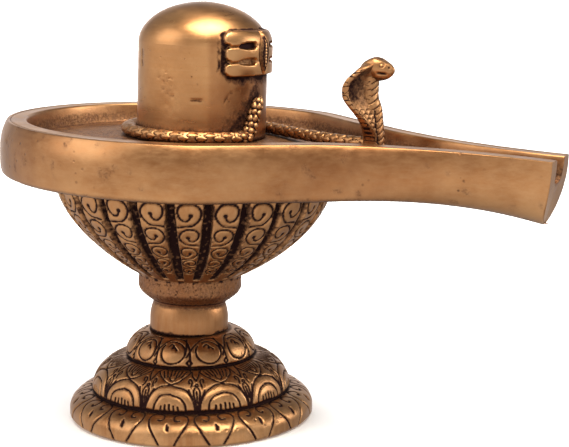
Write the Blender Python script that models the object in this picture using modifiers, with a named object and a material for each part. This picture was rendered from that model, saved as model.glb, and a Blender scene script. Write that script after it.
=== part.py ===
# Shiva lingam in cast brass: a stepped lotus foot, a ribbed cup, a yoni basin with a spout,
# the lingam standing in it and a cobra coiled round the lingam's foot.
# +X runs along the spout, +Z is up, the origin is the middle of the foot's underside. Metres.

import math

import bmesh
import bpy
from mathutils import Matrix, Vector

MM = 0.001
GAP = 0.3 * MM

# Foot: three quarter round tiers, each springing from a groove
FOOT_RING_R = 49.2 * MM
TIER1_R = 51.2 * MM
TIER1_SIDE_LOW = 1.6 * MM
TIER1_SIDE_HIGH = 4.2 * MM
GROOVE1_R = 41.7 * MM
GROOVE1_Z = 11.2 * MM
GROOVE2_R = 27.4 * MM
GROOVE2_Z = 25.6 * MM
FOOT_TOP_R = 17.2 * MM
FOOT_TOP_Z = 36.4 * MM
GROOVE_DEPTH = 1.1 * MM
HEART_COUNT = 16
ARCH_COUNT = 12
LOOP_COUNT = 12
CARVE_DEPTH = 0.7 * MM

# Cup: collar, ring and a bowl with flat ribs
COLLAR_R = 15.3 * MM
COLLAR_FOOT_R = 16.4 * MM
COLLAR_TOP_Z = 47.6 * MM
RING_R = 21.6 * MM
RING_LOW_Z = 48.4 * MM
RING_TOP_Z = 58.4 * MM
WAIST_SHIFT = 0.8 * MM
WAIST_SHIFT_DEG = 202.5
BOWL_FOOT_R = 21.6 * MM
BOWL_FOOT_Z = 60.6 * MM
BOWL_R = 57.5 * MM
RIB_COUNT = 24
RIB_GROOVE_DEPTH = 2.2 * MM
RIB_SHARE = 0.70
RIB_TURN_DEG = 8.85

# Yoni basin
PLATE_Z = 101.9 * MM
PLATE_H = 21.7 * MM
PLATE_R = 76.5 * MM
BAND_BULGE = 2.9 * MM
BAND_ROUND = 1.0 * MM
LAND = 8.0 * MM
BASIN_DEPTH = 7.8 * MM
FLOOR_RISE = 2.2 * MM
SHOULDER_ANGLE = 69.0
NECK_PULL = 22.2 * MM
SPOUT_LENGTH = 151.8 * MM
SPOUT_HALF_W = 14.0 * MM
SPOUT_FLARE = 4.8 * MM
SPOUT_PULL = 74.0 * MM
SPOUT_DROP = 2.4 * MM
SPOUT_KEEL = 4.0 * MM
NECK_THIN = 1.2 * MM
END_LEAN = 4.6 * MM
CHANNEL_DEPTH = 9.8 * MM

# Lingam
LINGAM_R = 26.4 * MM
LINGAM_TOP_Z = 172.6 * MM
DOME_H = 16.8 * MM
LINGAM_SHIFT = 2.6 * MM
MARK_WIDTH = 38.2 * MM
MARK_PITCH = 6.2 * MM
MARK_SLOT_H = 2.6 * MM
MARK_SLOT_W = 8.4 * MM
MARK_SLOT_MID = 9.0 * MM
MARK_NOTCH = 2.8 * MM
MARK_RAISE = 2.0 * MM
MARK_DROP = 19.1 * MM
MARK_TURN_DEG = -5.3
EYE_H = 16.0 * MM
EYE_W = 5.0 * MM

# Cobra
BODY_R = 2.4 * MM
BODY_FLAT = 1.25
NECK_R = 4.3 * MM
TAIL_TIP_R = 1.5 * MM
TAIL_RISE = 16.5 * MM
HOOD_X = 77.6 * MM
HOOD_H = 29.8 * MM
HOOD_HALF_W = 15.0 * MM
HOOD_THICK = 3.4 * MM
HOOD_SWEEP = 5.4 * MM
HEAD_LENGTH = 14.0 * MM
HEAD_WIDTH = 11.0 * MM
HEAD_HEIGHT = 9.0 * MM

# Everything above the foot leans a little, as the brazed joint under the collar set it
LEAN_DEG = 1.95
LEAN_TOWARDS_DEG = 26.0


def clear_scene():
    for obj in list(bpy.data.objects):
        bpy.data.objects.remove(obj, do_unlink=True)


def make_collection(name):
    group = bpy.data.collections.new(name)
    bpy.context.scene.collection.children.link(group)
    return group


def brass(name, colour, roughness):
    mat = bpy.data.materials.new(name)
    mat.use_nodes = True
    shader = mat.node_tree.nodes["Principled BSDF"]
    shader.inputs["Base Color"].default_value = (*colour, 1.0)
    shader.inputs["Metallic"].default_value = 1.0
    shader.inputs["Roughness"].default_value = roughness
    return mat


def link_mesh(name, mesh, group, mat=None, parent=None):
    obj = bpy.data.objects.new(name, mesh)
    group.objects.link(obj)
    if mat is not None:
        mesh.materials.append(mat)
    if parent is not None:
        obj.parent = parent
    return obj


def finish_bmesh(bm, name):
    bmesh.ops.remove_doubles(bm, verts=bm.verts, dist=0.00001)
    bmesh.ops.dissolve_degenerate(bm, edges=bm.edges, dist=0.00001)
    bmesh.ops.recalc_face_normals(bm, faces=bm.faces)
    mesh = bpy.data.meshes.new(name)
    bm.to_mesh(mesh)
    bm.free()
    mesh.shade_smooth()
    mesh.set_sharp_from_angle(angle=math.radians(38))
    return mesh


def wrapped_sheet(across, along, place, name):
    # A sheet wrapped into a tube: u runs once round, v runs from one end to the other.
    # Both ends are then filled, so the result is a closed solid.
    bm = bmesh.new()
    bmesh.ops.create_grid(bm, x_segments=across, y_segments=along, size=0.5)
    for vert in bm.verts:
        u = vert.co.x + 0.5
        v = vert.co.y + 0.5
        vert.co = Vector(place(u, v))
    bmesh.ops.remove_doubles(bm, verts=bm.verts, dist=0.00001)
    rims = [edge for edge in bm.edges if edge.is_boundary]
    if rims:
        bmesh.ops.holes_fill(bm, edges=rims, sides=0)
    return finish_bmesh(bm, name)


def smooth(value):
    t = min(max(value, 0.0), 1.0)
    return t * t * (3.0 - 2.0 * t)


def on_path(points, share):
    # Point at a share of the way along a list of points, counted by place in the list
    spot = min(max(share, 0.0), 1.0) * (len(points) - 1)
    i = min(int(spot), len(points) - 2)
    f = spot - i
    return tuple(a + (b - a) * f for a, b in zip(points[i], points[i + 1]))


def quarter(r_in, z_in, r_out, z_out, steps):
    # Quarter round from the top edge (r_in, z_in) down to the side (r_out, z_out)
    points = []
    for k in range(steps + 1):
        a = math.pi / 2 * k / steps
        points.append((r_in + (r_out - r_in) * math.sin(a) ** 1.08, z_out + (z_in - z_out) * math.cos(a) ** 1.05))
    return points


def ring_wave(angle, count):
    # Place within one motif, -0.5 to 0.5, with 0 at the motif's middle
    turn = angle / (2 * math.pi) * count
    return turn - math.floor(turn + 0.5)


def foot_profile():
    top = [(FOOT_TOP_R, FOOT_TOP_Z)]
    tier3 = quarter(FOOT_TOP_R, FOOT_TOP_Z, GROOVE2_R, GROOVE2_Z + GROOVE_DEPTH, 4)[1:]
    cut2 = [(GROOVE2_R - GROOVE_DEPTH, GROOVE2_Z)]
    tier2 = quarter(GROOVE2_R, GROOVE2_Z, GROOVE1_R, GROOVE1_Z + GROOVE_DEPTH, 5)
    cut1 = [(GROOVE1_R - GROOVE_DEPTH, GROOVE1_Z)]
    tier1 = quarter(GROOVE1_R, GROOVE1_Z, TIER1_R, TIER1_SIDE_HIGH, 4)
    low = [(TIER1_R, TIER1_SIDE_LOW), (FOOT_RING_R, 0.0)]
    rows = [(p, 0) for p in top] + [(p, 3) for p in tier3] + [(p, 0) for p in cut2]
    rows += [(p, 2) for p in tier2] + [(p, 0) for p in cut1] + [(p, 1) for p in tier1]
    return rows + [(low[0], 1), (low[1], 0)]


def foot_carving(tier, angle, z):
    # Engraved lines of the three tiers, as depth below the turned surface
    if tier == 1:
        place = abs(ring_wave(angle, HEART_COUNT))
        span = (z - TIER1_SIDE_LOW) / (GROOVE1_Z - TIER1_SIDE_LOW)
        edge = 0.22 + 0.28 * smooth(span * 1.4)
        return CARVE_DEPTH * max(0.0, 1.0 - abs(place - edge) / 0.13)
    if tier == 2:
        place = ring_wave(angle, ARCH_COUNT)
        span = (z - GROOVE1_Z) / (GROOVE2_Z - GROOVE1_Z)
        reach = math.hypot(place / 0.40, span / 0.62)
        arch = max(0.0, 1.0 - abs(reach - 1.0) / 0.30)
        return CARVE_DEPTH * arch
    if tier == 3:
        place = ring_wave(angle, LOOP_COUNT)
        span = (z - GROOVE2_Z) / (FOOT_TOP_Z - GROOVE2_Z) - 0.45
        reach = math.hypot(place / 0.36, span / 0.36)
        return CARVE_DEPTH * max(0.0, 1.0 - abs(reach - 1.0) / 0.30)
    return 0.0


def make_foot(group, mat):
    rows = foot_profile()
    count = 96

    def place(u, v):
        angle = 2 * math.pi * u
        i = round(v * (len(rows) - 1))
        (r, z), tier = rows[i]
        r -= foot_carving(tier, angle, z)
        return (r * math.cos(angle), r * math.sin(angle), z)

    mesh = wrapped_sheet(count, len(rows) - 1, place, "foot")
    return link_mesh("foot", mesh, group, mat)


def bowl_radius(z):
    # The bowl swells fast above the ring and rises more steeply towards the plate
    t = min(max((z - BOWL_FOOT_Z) / (PLATE_Z - BOWL_FOOT_Z), 0.0), 1.0)
    return BOWL_FOOT_R + (BOWL_R - BOWL_FOOT_R) * (1.0 - (1.0 - t) ** 1.9) ** 0.92


def bowl_rows():
    mid_z = (FOOT_TOP_Z + COLLAR_TOP_Z) / 2
    rows = [(COLLAR_FOOT_R, FOOT_TOP_Z + GAP, 0.0), (COLLAR_FOOT_R, mid_z, 0.0), (COLLAR_R, COLLAR_TOP_Z, 0.0)]
    for k in range(1, 5):
        t = k / 4
        swell = math.sin(min(1.0, t / 0.7) * math.pi / 2) ** 1.2
        rows.append((COLLAR_R + (RING_R - COLLAR_R) * swell, RING_LOW_Z + (RING_TOP_Z - RING_LOW_Z) * t, 0.0))
    levels = 6
    for k in range(levels + 1):
        z = BOWL_FOOT_Z + (PLATE_Z - GAP - BOWL_FOOT_Z) * k / levels
        cut = smooth(k / 1.2) * (1.0 - 0.75 * smooth((k - levels + 1.0) / 1.0))
        rows.append((bowl_radius(z), z, cut))
    return rows


def waist_shift(z):
    # The collar and ring were turned a little off the bowl's own centre
    share = 1.0 - smooth((z - RING_TOP_Z) / (0.4 * (PLATE_Z - RING_TOP_Z)))
    a = math.radians(WAIST_SHIFT_DEG)
    return (WAIST_SHIFT * share * math.cos(a), WAIST_SHIFT * share * math.sin(a))


def make_bowl(group, mat, tilt, slope, towards):
    rows = bowl_rows()
    per_rib = 3
    shares = (-RIB_SHARE / 2, RIB_SHARE / 2, 0.5)

    def place(u, v):
        k = round(u * RIB_COUNT * per_rib)
        rib, part = divmod(k, per_rib)
        angle = 2 * math.pi * (rib + shares[part]) / RIB_COUNT + math.radians(RIB_TURN_DEG)
        i = round(v * (len(rows) - 1))
        r, z, cut = rows[i]
        if part >= 2:
            r -= RIB_GROOVE_DEPTH * cut * min(1.0, r / (0.6 * BOWL_R))
        shift_x, shift_y = waist_shift(z)
        x, y = r * math.cos(angle) + shift_x, r * math.sin(angle) + shift_y
        if i == 0:
            z += slope * (x * math.cos(towards) + y * math.sin(towards))
        return (x, y, z - FOOT_TOP_Z)

    mesh = wrapped_sheet(RIB_COUNT * per_rib, len(rows) - 1, place, "bowl")
    return link_mesh("bowl", mesh, group, mat, tilt)


def half_outline():
    # One side of the plan: the circle from the back round to the shoulder, then the spout's flank
    radius, half_w, length = PLATE_R, SPOUT_HALF_W, SPOUT_LENGTH
    b = math.radians(SHOULDER_ANGLE)
    points = []
    steps = 13
    for k in range(steps + 1):
        a = math.pi + (b - math.pi) * k / steps
        points.append((radius * math.cos(a), radius * math.sin(a)))
    p0 = points[-1]
    p1 = (p0[0] + NECK_PULL * math.sin(b), p0[1] - NECK_PULL * math.cos(b))
    p2 = (length - SPOUT_PULL, half_w - SPOUT_FLARE)
    p3 = (length, half_w)
    flank = 14
    for k in range(1, flank + 1):
        t = k / flank
        w = ((1 - t) ** 3, 3 * (1 - t) ** 2 * t, 3 * (1 - t) * t * t, t ** 3)
        points.append(tuple(sum(c * p[i] for c, p in zip(w, (p0, p1, p2, p3))) for i in (0, 1)))
    return points


def closed_outline(half, end_steps):
    # Back point, up one side, across the end and back down the other side
    length, half_w = half[-1]
    across = [(length, half_w * (1 - 2 * k / end_steps)) for k in range(1, end_steps)]
    other = [(x, -y) for x, y in reversed(half[1:])]
    return half + across + other


def outward(points, i):
    # Unit direction out of a closed outline that runs clockwise seen from above
    ax, ay = points[i - 1]
    bx, by = points[(i + 1) % len(points)]
    dx, dy = bx - ax, by - ay
    size = math.hypot(dx, dy) or 1.0
    return (-dy / size, dx / size)


def spout_share(x):
    return smooth((x - 0.92 * PLATE_R) / (SPOUT_LENGTH - 0.92 * PLATE_R))


def spout_line(x):
    return max(0.0, (x - 0.9 * PLATE_R) / (SPOUT_LENGTH - 0.9 * PLATE_R))


def make_basin(group, cutters, mat, tilt):
    outline = closed_outline(half_outline(), 4)
    count = len(outline)
    # Steps down the band: how far out from the rim's edge, and the share of the height gone
    band = [(-0.5 * BAND_ROUND, 0.0), (0.3 * BAND_ROUND, 0.03), (0.6 * BAND_BULGE, 0.09),
            (0.95 * BAND_BULGE, 0.20), (BAND_BULGE, 0.50), (0.97 * BAND_BULGE, 0.80),
            (0.75 * BAND_BULGE, 0.95), (0.1 * BAND_BULGE, 1.0)]
    top = PLATE_Z + PLATE_H

    def place(u, v):
        i = round(u * count) % count
        j = round(v * (len(band) - 1))
        x, y = outline[i]
        nx, ny = outward(outline, i)
        out, deep = band[j]
        share = spout_share(x)
        on_end = x > SPOUT_LENGTH - 0.1 * MM and abs(y) < SPOUT_HALF_W - 0.1 * MM
        out_here = out * (1.0 - 0.8 * share) if not on_end else min(out, 0.0) * 0.25
        corner = x > SPOUT_LENGTH - 0.1 * MM and not on_end
        if corner:
            nx, ny = 0.0, math.copysign(1.0, y)
        keel = (1.0 - share) + share * max(0.12, math.sqrt(max(0.0, 1.0 - deep ** 2.2)))
        px = x + nx * out_here
        py = (y + ny * out_here) * keel
        run = min(spout_line(x), 1.0)
        height = PLATE_H + SPOUT_KEEL * run ** 2 - NECK_THIN * math.sin(math.pi * run ** 0.8)
        px -= END_LEAN * deep ** 2 * smooth((x - SPOUT_LENGTH + 30 * MM) / (30 * MM))
        return (px, py, top - height * deep - FOOT_TOP_Z)

    mesh = wrapped_sheet(count, len(band) - 1, place, "yoni_basin")
    body = link_mesh("yoni_basin", mesh, group, mat, tilt)

    # The hollow: basin and channel in one cutter, open past the spout's end
    half = half_outline()
    whole = closed_outline(half, 2)
    inset = []
    for i in range(len(half)):
        x, y = half[i]
        nx, ny = outward(whole, i) if i < len(half) - 1 else (0.0, 1.0)
        inset.append((x - nx * LAND, max(y - ny * LAND, 0.0)))
    inset[0] = (-(PLATE_R - LAND), 0.0)
    past = SPOUT_LENGTH + 12.0 * MM
    inset.append((past, inset[-1][1]))
    inner = closed_outline(inset, 2)
    steps = [(1.2, -0.5, 1.0), (0.3, 0.0, 1.0), (0.0, 0.25, 1.0), (-0.7, 0.8, 1.0), (-2.2, 1.0, 1.0),
             (-2.2, 1.0 - FLOOR_RISE / BASIN_DEPTH, 0.55)]
    inner_count = len(inner)

    def hollow(u, v):
        i = round(u * inner_count) % inner_count
        j = round(v * (len(steps) - 1))
        x, y = inner[i]
        nx, ny = outward(inner, i)
        if x > past - 0.1 * MM:
            nx, ny = 0.0, math.copysign(1.0, y) if abs(y) > 0.1 * MM else 0.0
        out, deep, scale = steps[j]
        share = spout_share(x)
        depth = BASIN_DEPTH + (CHANNEL_DEPTH - BASIN_DEPTH) * share
        px, py = x + nx * out * MM, y + ny * out * MM * (1.0 - 0.2 * share)
        return (px * scale, py * scale, top - depth * deep - FOOT_TOP_Z)

    cut_mesh = wrapped_sheet(inner_count, len(steps) - 1, hollow, "basin_hollow")
    cutter = link_mesh("basin_hollow", cut_mesh, cutters, None, tilt)
    cutter.hide_render = True
    cutter.display_type = "WIRE"
    bpy.context.view_layer.update()
    join_now(body, [(cutter, "DIFFERENCE")])

    # The spout droops: every point past the shoulder sinks in step with its distance
    for vert in body.data.vertices:
        vert.co.z -= SPOUT_DROP * spout_line(vert.co.x)
    return body


def join_now(target, others):
    # Booleans worked out at once, so that the outcome can still be shaped
    for other, kind in others:
        mod = target.modifiers.new(kind.lower(), "BOOLEAN")
        mod.operation = kind
        mod.solver = "EXACT"
        mod.object = other
    bpy.context.view_layer.update()
    graph = bpy.context.evaluated_depsgraph_get()
    made = bpy.data.meshes.new_from_object(target.evaluated_get(graph))
    target.modifiers.clear()
    old = target.data
    target.data = made
    bpy.data.meshes.remove(old)
    for other, kind in others:
        bpy.data.objects.remove(other, do_unlink=True)
    bm = bmesh.new()
    bm.from_mesh(target.data)
    bmesh.ops.triangulate(bm, faces=[f for f in bm.faces if len(f.verts) > 4])
    bmesh.ops.remove_doubles(bm, verts=bm.verts, dist=0.00001)
    bmesh.ops.dissolve_degenerate(bm, edges=bm.edges, dist=0.00001)
    bm.to_mesh(target.data)
    bm.free()


def lingam_radius(z):
    # Straight side, then a low dome
    spring = LINGAM_TOP_Z - DOME_H
    if z <= spring:
        return LINGAM_R
    t = min((z - spring) / DOME_H, 1.0)
    return LINGAM_R * math.sqrt(max(0.0, 1.0 - t ** 2.0)) ** 1.04


def floor_z():
    # The floor round the lingam, where it is highest
    return PLATE_Z + PLATE_H - BASIN_DEPTH + FLOOR_RISE


def mark_z():
    # The mark hangs a set drop below the dome's top
    return LINGAM_TOP_Z - MARK_DROP


def lingam_skin(angle, z, raise_by):
    # A point on the lingam's side, or on the dome, lifted off the surface
    r = lingam_radius(z) + raise_by
    angle += math.radians(MARK_TURN_DEG)
    return (LINGAM_SHIFT + r * math.cos(angle), r * math.sin(angle), z - FOOT_TOP_Z)


def raised_patch(name, width, height, z_mid, inner, lift, shape, group, tilt, nu, nv, shift=0.0):
    # A pad wrapped on the lingam; shape(s) gives the share of the height left at the share s across
    bm = bmesh.new()
    bmesh.ops.create_cube(bm, size=1.0)
    bmesh.ops.subdivide_edges(bm, edges=[e for e in bm.edges if abs(e.verts[0].co.y - e.verts[1].co.y) > 0.5],
                              cuts=nu - 1, use_grid_fill=True)
    bmesh.ops.subdivide_edges(bm, edges=[e for e in bm.edges if abs(e.verts[0].co.z - e.verts[1].co.z) > 0.5],
                              cuts=nv - 1, use_grid_fill=True)
    for vert in bm.verts:
        across = vert.co.y * 2
        up = vert.co.z * 2
        out = lift if vert.co.x > 0 else inner
        z = z_mid + up * height / 2 * shape(across)
        angle = (shift + across * width / 2) / LINGAM_R
        vert.co = Vector(lingam_skin(angle, z, out))
    mesh = finish_bmesh(bm, name)
    return link_mesh(name, mesh, group, None, tilt)


def make_lingam(group, cutters, mat, tilt):
    rows = []
    levels = 8
    for k in range(levels + 1):
        a = math.pi / 2 * k / levels
        z = LINGAM_TOP_Z - DOME_H * (1.0 - math.sin(a)) if k < levels else LINGAM_TOP_Z
        rows.append((lingam_radius(z), z))
    rows = [(LINGAM_R, floor_z() + GAP)] + rows
    mesh = bpy.data.meshes.new("lingam_profile")
    bm = bmesh.new()
    line = [bm.verts.new((r, 0.0, z - FOOT_TOP_Z)) for r, z in reversed(rows)]
    line[0].co.x = 0.0
    line.append(bm.verts.new((0.0, 0.0, rows[0][1] - FOOT_TOP_Z)))
    for a, b in zip(line, line[1:]):
        bm.edges.new((a, b))
    bm.to_mesh(mesh)
    bm.free()
    body = link_mesh("lingam", mesh, group, mat, tilt)
    body.location.x = LINGAM_SHIFT
    screw = body.modifiers.new("turn", "SCREW")
    screw.steps = 34
    screw.render_steps = 34
    screw.use_merge_vertices = True
    screw.merge_threshold = 0.00001
    screw.use_smooth_shade = True
    def rounded(s):
        return math.sqrt(max(0.45, 1.0 - abs(s) ** 10))

    def lens(s):
        return max(0.15, 1.0 - abs(s) ** 1.6)

    # One pad stands for the three bands where they meet, with slots and end notches between them
    steps = [(raised_patch("mark", MARK_WIDTH, 3 * MARK_PITCH - 1.0 * MM, mark_z(), -2.0 * MM, MARK_RAISE, rounded,
                           cutters, tilt, 14, 3), "UNION")]
    for row in (-0.5, 0.5):
        for side in (-1, 1):
            for reach, width in ((MARK_SLOT_MID, MARK_SLOT_W), (MARK_WIDTH / 2 + 0.4 * MM, 2 * MARK_NOTCH)):
                steps.append((raised_patch("mark_slot", width, MARK_SLOT_H, mark_z() + row * MARK_PITCH,
                                           0.25 * MM, 6.0 * MM, rounded, cutters, tilt, 4, 1,
                                           side * reach), "DIFFERENCE"))
    steps.append((raised_patch("mark_eye", EYE_W, EYE_H, mark_z(), -2.0 * MM, MARK_RAISE + 1.0 * MM, lens,
                               cutters, tilt, 4, 4), "UNION"))
    bpy.context.view_layer.update()
    join_now(body, steps)
    return body


def coil_points():
    # From the tail's tip on the lingam's front, down and round its foot, then out along the channel
    floor = floor_z() + GAP
    points = []
    steps = 32
    for k in range(steps + 1):
        t = (k / steps) ** 1.5
        turn = math.radians(-9.0 - 291.0 * t)
        rise = TAIL_RISE * (1.0 - smooth(t / 0.07))
        size = TAIL_TIP_R + (BODY_R - TAIL_TIP_R) * smooth(t / 0.09)
        r = LINGAM_R + GAP + size * BODY_FLAT
        points.append((LINGAM_SHIFT + r * math.cos(turn), r * math.sin(turn), floor + size + rise, size))
    x0, y0 = points[-1][0], points[-1][1]
    x1, y1 = HOOD_X + 0.5 * MM, 0.0
    heading = math.radians(-300.0)
    dx, dy = math.sin(heading), -math.cos(heading)
    run = 7
    for k in range(1, run + 1):
        t = k / run
        w = ((1 - t) ** 3, 3 * (1 - t) ** 2 * t, 3 * (1 - t) * t * t, t ** 3)
        reach = 22.0 * MM
        xs = (x0, x0 + dx * reach, x1 - 26.0 * MM, x1)
        ys = (y0, y0 + dy * reach, y1, y1)
        x = sum(c * p for c, p in zip(w, xs))
        y = sum(c * p for c, p in zip(w, ys))
        points.append((x, y, floor + BODY_R, BODY_R))
    return points


def tube_mesh(points, sides, name):
    # A closed tube of changing size along a path, with a pointed first end
    last = len(points) - 1

    def frame(i):
        a = Vector(points[max(i - 1, 0)][:3])
        b = Vector(points[min(i + 1, last)][:3])
        ahead = (b - a).normalized()
        side = ahead.cross(Vector((0, 0, 1))).normalized()
        return side, side.cross(ahead).normalized()

    def place(u, v):
        i = round(v * last)
        side, up = frame(i)
        angle = 2 * math.pi * u
        mid = Vector(points[i][:3])
        size = points[i][3]
        spot = mid + side * size * BODY_FLAT * math.cos(angle) + up * size * math.sin(angle)
        return (spot.x, spot.y, spot.z - FOOT_TOP_Z)

    return wrapped_sheet(sides, last, place, name)


def hood_half_width(t):
    # Slim neck, wide hood two thirds of the way up, closing into the head
    rise = smooth((t - 0.08) / 0.50)
    fall = 1.0 - 0.74 * smooth((t - 0.78) / 0.30)
    return NECK_R + (HOOD_HALF_W - NECK_R) * rise * fall


def hood_mid(t):
    # The neck leans back a little, then curls forward under the head
    return HOOD_X - 3.0 * MM * smooth(t / 0.6) + 1.6 * MM * smooth((t - 0.78) / 0.22)


def make_cobra(group, cutters, mat, tilt):
    points = coil_points()
    body = link_mesh("cobra", tube_mesh(points, 8, "cobra"), group, mat, tilt)
    floor = floor_z() + GAP
    across = 18
    levels = 10

    def hood(u, v):
        angle = 2 * math.pi * u
        w = hood_half_width(v)
        flat = min(max((w - NECK_R) / (HOOD_HALF_W - NECK_R), 0.0), 1.0)
        thick = NECK_R + (HOOD_THICK * 0.5 - NECK_R) * flat
        s, c = math.sin(angle), math.cos(angle)
        y = w * math.copysign(abs(s) ** 1.15, s)
        ridge = 3.4 * MM * flat * max(0.0, 1.0 - (y / (4.4 * MM)) ** 2) * (1.0 if c > 0 else 0.0)
        swept = HOOD_SWEEP * flat * (y / HOOD_HALF_W) ** 2
        x = hood_mid(v) + thick * math.copysign(abs(c) ** 0.6, c) + ridge - swept + 0.6 * MM * flat
        return (x, y, floor + BODY_R * 0.3 + HOOD_H * v - FOOT_TOP_Z)

    neck = link_mesh("hood", wrapped_sheet(across, levels, hood, "hood"), cutters, None, tilt)

    bm = bmesh.new()
    bmesh.ops.create_uvsphere(bm, u_segments=12, v_segments=7, radius=1.0)
    for vert in bm.verts:
        x, y, z = vert.co
        snout = smooth((x + 0.1) / 1.1)
        wide = HEAD_WIDTH / 2 * (1.0 - 0.42 * snout)
        tall = HEAD_HEIGHT / 2 * (1.0 - 0.30 * snout)
        vert.co = Vector((hood_mid(1.0) + 1.6 * MM + x * HEAD_LENGTH / 2, y * wide,
                          floor + HOOD_H + 1.6 * MM - FOOT_TOP_Z + z * tall - 1.8 * MM * snout))
    head = link_mesh("head", finish_bmesh(bm, "head"), cutters, None, tilt)
    bpy.context.view_layer.update()
    join_now(body, [(neck, "UNION"), (head, "UNION")])
    return body


clear_scene()
parts = make_collection("shiva_lingam")
tools = make_collection("shiva_lingam_cutters")
warm = brass("brass_warm", (0.52, 0.30, 0.13), 0.34)
dark = brass("brass_dark", (0.38, 0.20, 0.09), 0.42)
lean = bpy.data.objects.new("lean", None)
parts.objects.link(lean)
lean.location = (0.0, 0.0, FOOT_TOP_Z)
aim = math.radians(LEAN_TOWARDS_DEG)
axis = Vector((-math.sin(aim), math.cos(aim), 0.0))
lean.rotation_euler = Matrix.Rotation(math.radians(LEAN_DEG), 3, axis).to_euler()
bpy.context.view_layer.update()

make_foot(parts, dark)
make_bowl(parts, dark, lean, math.tan(math.radians(LEAN_DEG)), math.radians(LEAN_TOWARDS_DEG))
make_basin(parts, tools, warm, lean)
make_lingam(parts, tools, warm, lean)
make_cobra(parts, tools, dark, lean)
bpy.context.view_layer.update()
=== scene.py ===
import math

import bmesh
import bpy
import numpy as np
from mathutils import Matrix, Vector, noise


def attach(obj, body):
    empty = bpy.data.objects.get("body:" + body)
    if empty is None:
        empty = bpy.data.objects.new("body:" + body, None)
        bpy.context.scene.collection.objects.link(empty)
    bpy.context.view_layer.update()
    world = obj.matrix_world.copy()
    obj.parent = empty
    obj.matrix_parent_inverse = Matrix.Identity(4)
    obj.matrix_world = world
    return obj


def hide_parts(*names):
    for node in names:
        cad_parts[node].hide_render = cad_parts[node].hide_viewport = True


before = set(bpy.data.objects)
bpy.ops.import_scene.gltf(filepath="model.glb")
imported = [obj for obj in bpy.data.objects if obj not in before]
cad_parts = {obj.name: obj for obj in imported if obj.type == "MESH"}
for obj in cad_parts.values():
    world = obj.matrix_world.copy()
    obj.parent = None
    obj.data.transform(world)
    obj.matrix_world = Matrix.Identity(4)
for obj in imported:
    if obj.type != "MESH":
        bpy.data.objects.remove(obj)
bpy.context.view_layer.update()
mm = 0.001

# Everything above the foot leans a little at the brazed joint
lean = {
    "degrees": 1.95,
    "towards": 26.0,
    "pivotZ": 36.4,
}

# Directions on the turned parts are counted from where the photograph was taken
viewAngle = -64.0


# Shared tools
def smoothStep(value):
    t = np.clip(value, 0.0, 1.0)
    return t * t * (3.0 - 2.0 * t)


def grow(value, start, length):
    # 0 up to the start, 1 once the length is past
    return smoothStep((value - start) / length)


def fade(value, start, length):
    return 1.0 - smoothStep((value - start) / length)


def bell(value, width):
    # 1 at nought, falling softly on both sides
    return np.exp(-(value / width) ** 2)


def highest(first, *others):
    for other in others:
        first = np.maximum(first, other)
    return first


def leaned(x, y, z):
    # Millimetres in the upright part to metres in the world
    aim = math.radians(lean["towards"])
    turn = Matrix.Rotation(math.radians(lean["degrees"]), 3, Vector((-math.sin(aim), math.cos(aim), 0.0)))
    up = z - lean["pivotZ"]
    rows = [turn[i][0] * x + turn[i][1] * y + turn[i][2] * up for i in range(3)]
    return rows[0] * mm, rows[1] * mm, (rows[2] + lean["pivotZ"]) * mm


def upright(x, y, z):
    return x * mm, y * mm, z * mm


def curveThrough(points, steps=6):
    # A smooth line through a few points
    pts = [np.array(p, dtype=float) for p in points]
    pts = [2 * pts[0] - pts[1]] + pts + [2 * pts[-1] - pts[-2]]
    line = []
    for i in range(1, len(pts) - 2):
        a, b, c, d = pts[i - 1:i + 3]
        for k in range(steps):
            t = k / steps
            line.append(0.5 * (2 * b + (c - a) * t + (2 * a - 5 * b + 4 * c - d) * t * t
                               + (3 * b - a - 3 * c + d) * t ** 3))
    line.append(pts[-2])
    return line


def bezier(p0, p1, p2, p3, t):
    return (1 - t) ** 3 * p0 + 3 * (1 - t) ** 2 * t * p1 + 3 * (1 - t) * t ** 2 * p2 + t ** 3 * p3


def mirrored(line):
    return [np.array((-p[0], p[1])) for p in line]


def scaledLine(line, sx, sy):
    return [np.array((p[0] * sx, p[1] * sy)) for p in line]


def distanceTo(px, py, lines, wide=1.0):
    # Shortest distance from every point to any of the lines, which are made as wide as asked
    best = np.full(px.shape, 1e6)
    for line in lines:
        for a, b in zip(line, line[1:]):
            ax, dx, dy = a[0] * wide, b[0] * wide - a[0] * wide, b[1] - a[1]
            t = np.clip(((px - ax) * dx + (py - a[1]) * dy) / (dx * dx + dy * dy + 1e-12), 0.0, 1.0)
            best = np.minimum(best, np.hypot(px - ax - t * dx, py - a[1] - t * dy))
    return best


def penned(distance, width):
    # 1 in the middle of an engraved line, 0 beside it
    return fade(distance, width * 0.22, width * 0.62)


def inked(px, py, lines, width):
    return penned(distanceTo(px, py, lines), width)


def noiseAt(x, y, z, size, seed=0.0):
    # Smooth random values between about -1 and 1, for every point
    shift = Vector((seed * 17.3, seed * 5.1, seed * 9.7))
    return np.array([noise.noise(Vector((a, b, c)) / size + shift) for a, b, c in zip(x, y, z)])


def motifPlace(angleDeg, seen, count):
    # How far across its motif a direction lies, from the motif centres that are seen
    first = seen[0]
    marks = list(seen) + [first + 360.0]
    numbers = list(range(len(seen))) + [count]
    spot = np.interp((angleDeg - first) % 360.0, [m - first for m in marks], numbers)
    return spot - np.floor(spot + 0.5)


def addValues(mesh, name, values):
    layer = mesh.attributes.get(name) or mesh.attributes.new(name, "FLOAT", "POINT")
    layer.data.foreach_set("value", np.asarray(values, dtype=np.float32))


def readPoints(mesh):
    flat = np.empty(len(mesh.vertices) * 3)
    mesh.vertices.foreach_get("co", flat)
    return flat[0::3].copy(), flat[1::3].copy(), flat[2::3].copy()


def writePoints(mesh, x, y, z):
    flat = np.stack([x, y, z], axis=1).ravel()
    mesh.vertices.foreach_set("co", flat)
    mesh.update()


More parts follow.
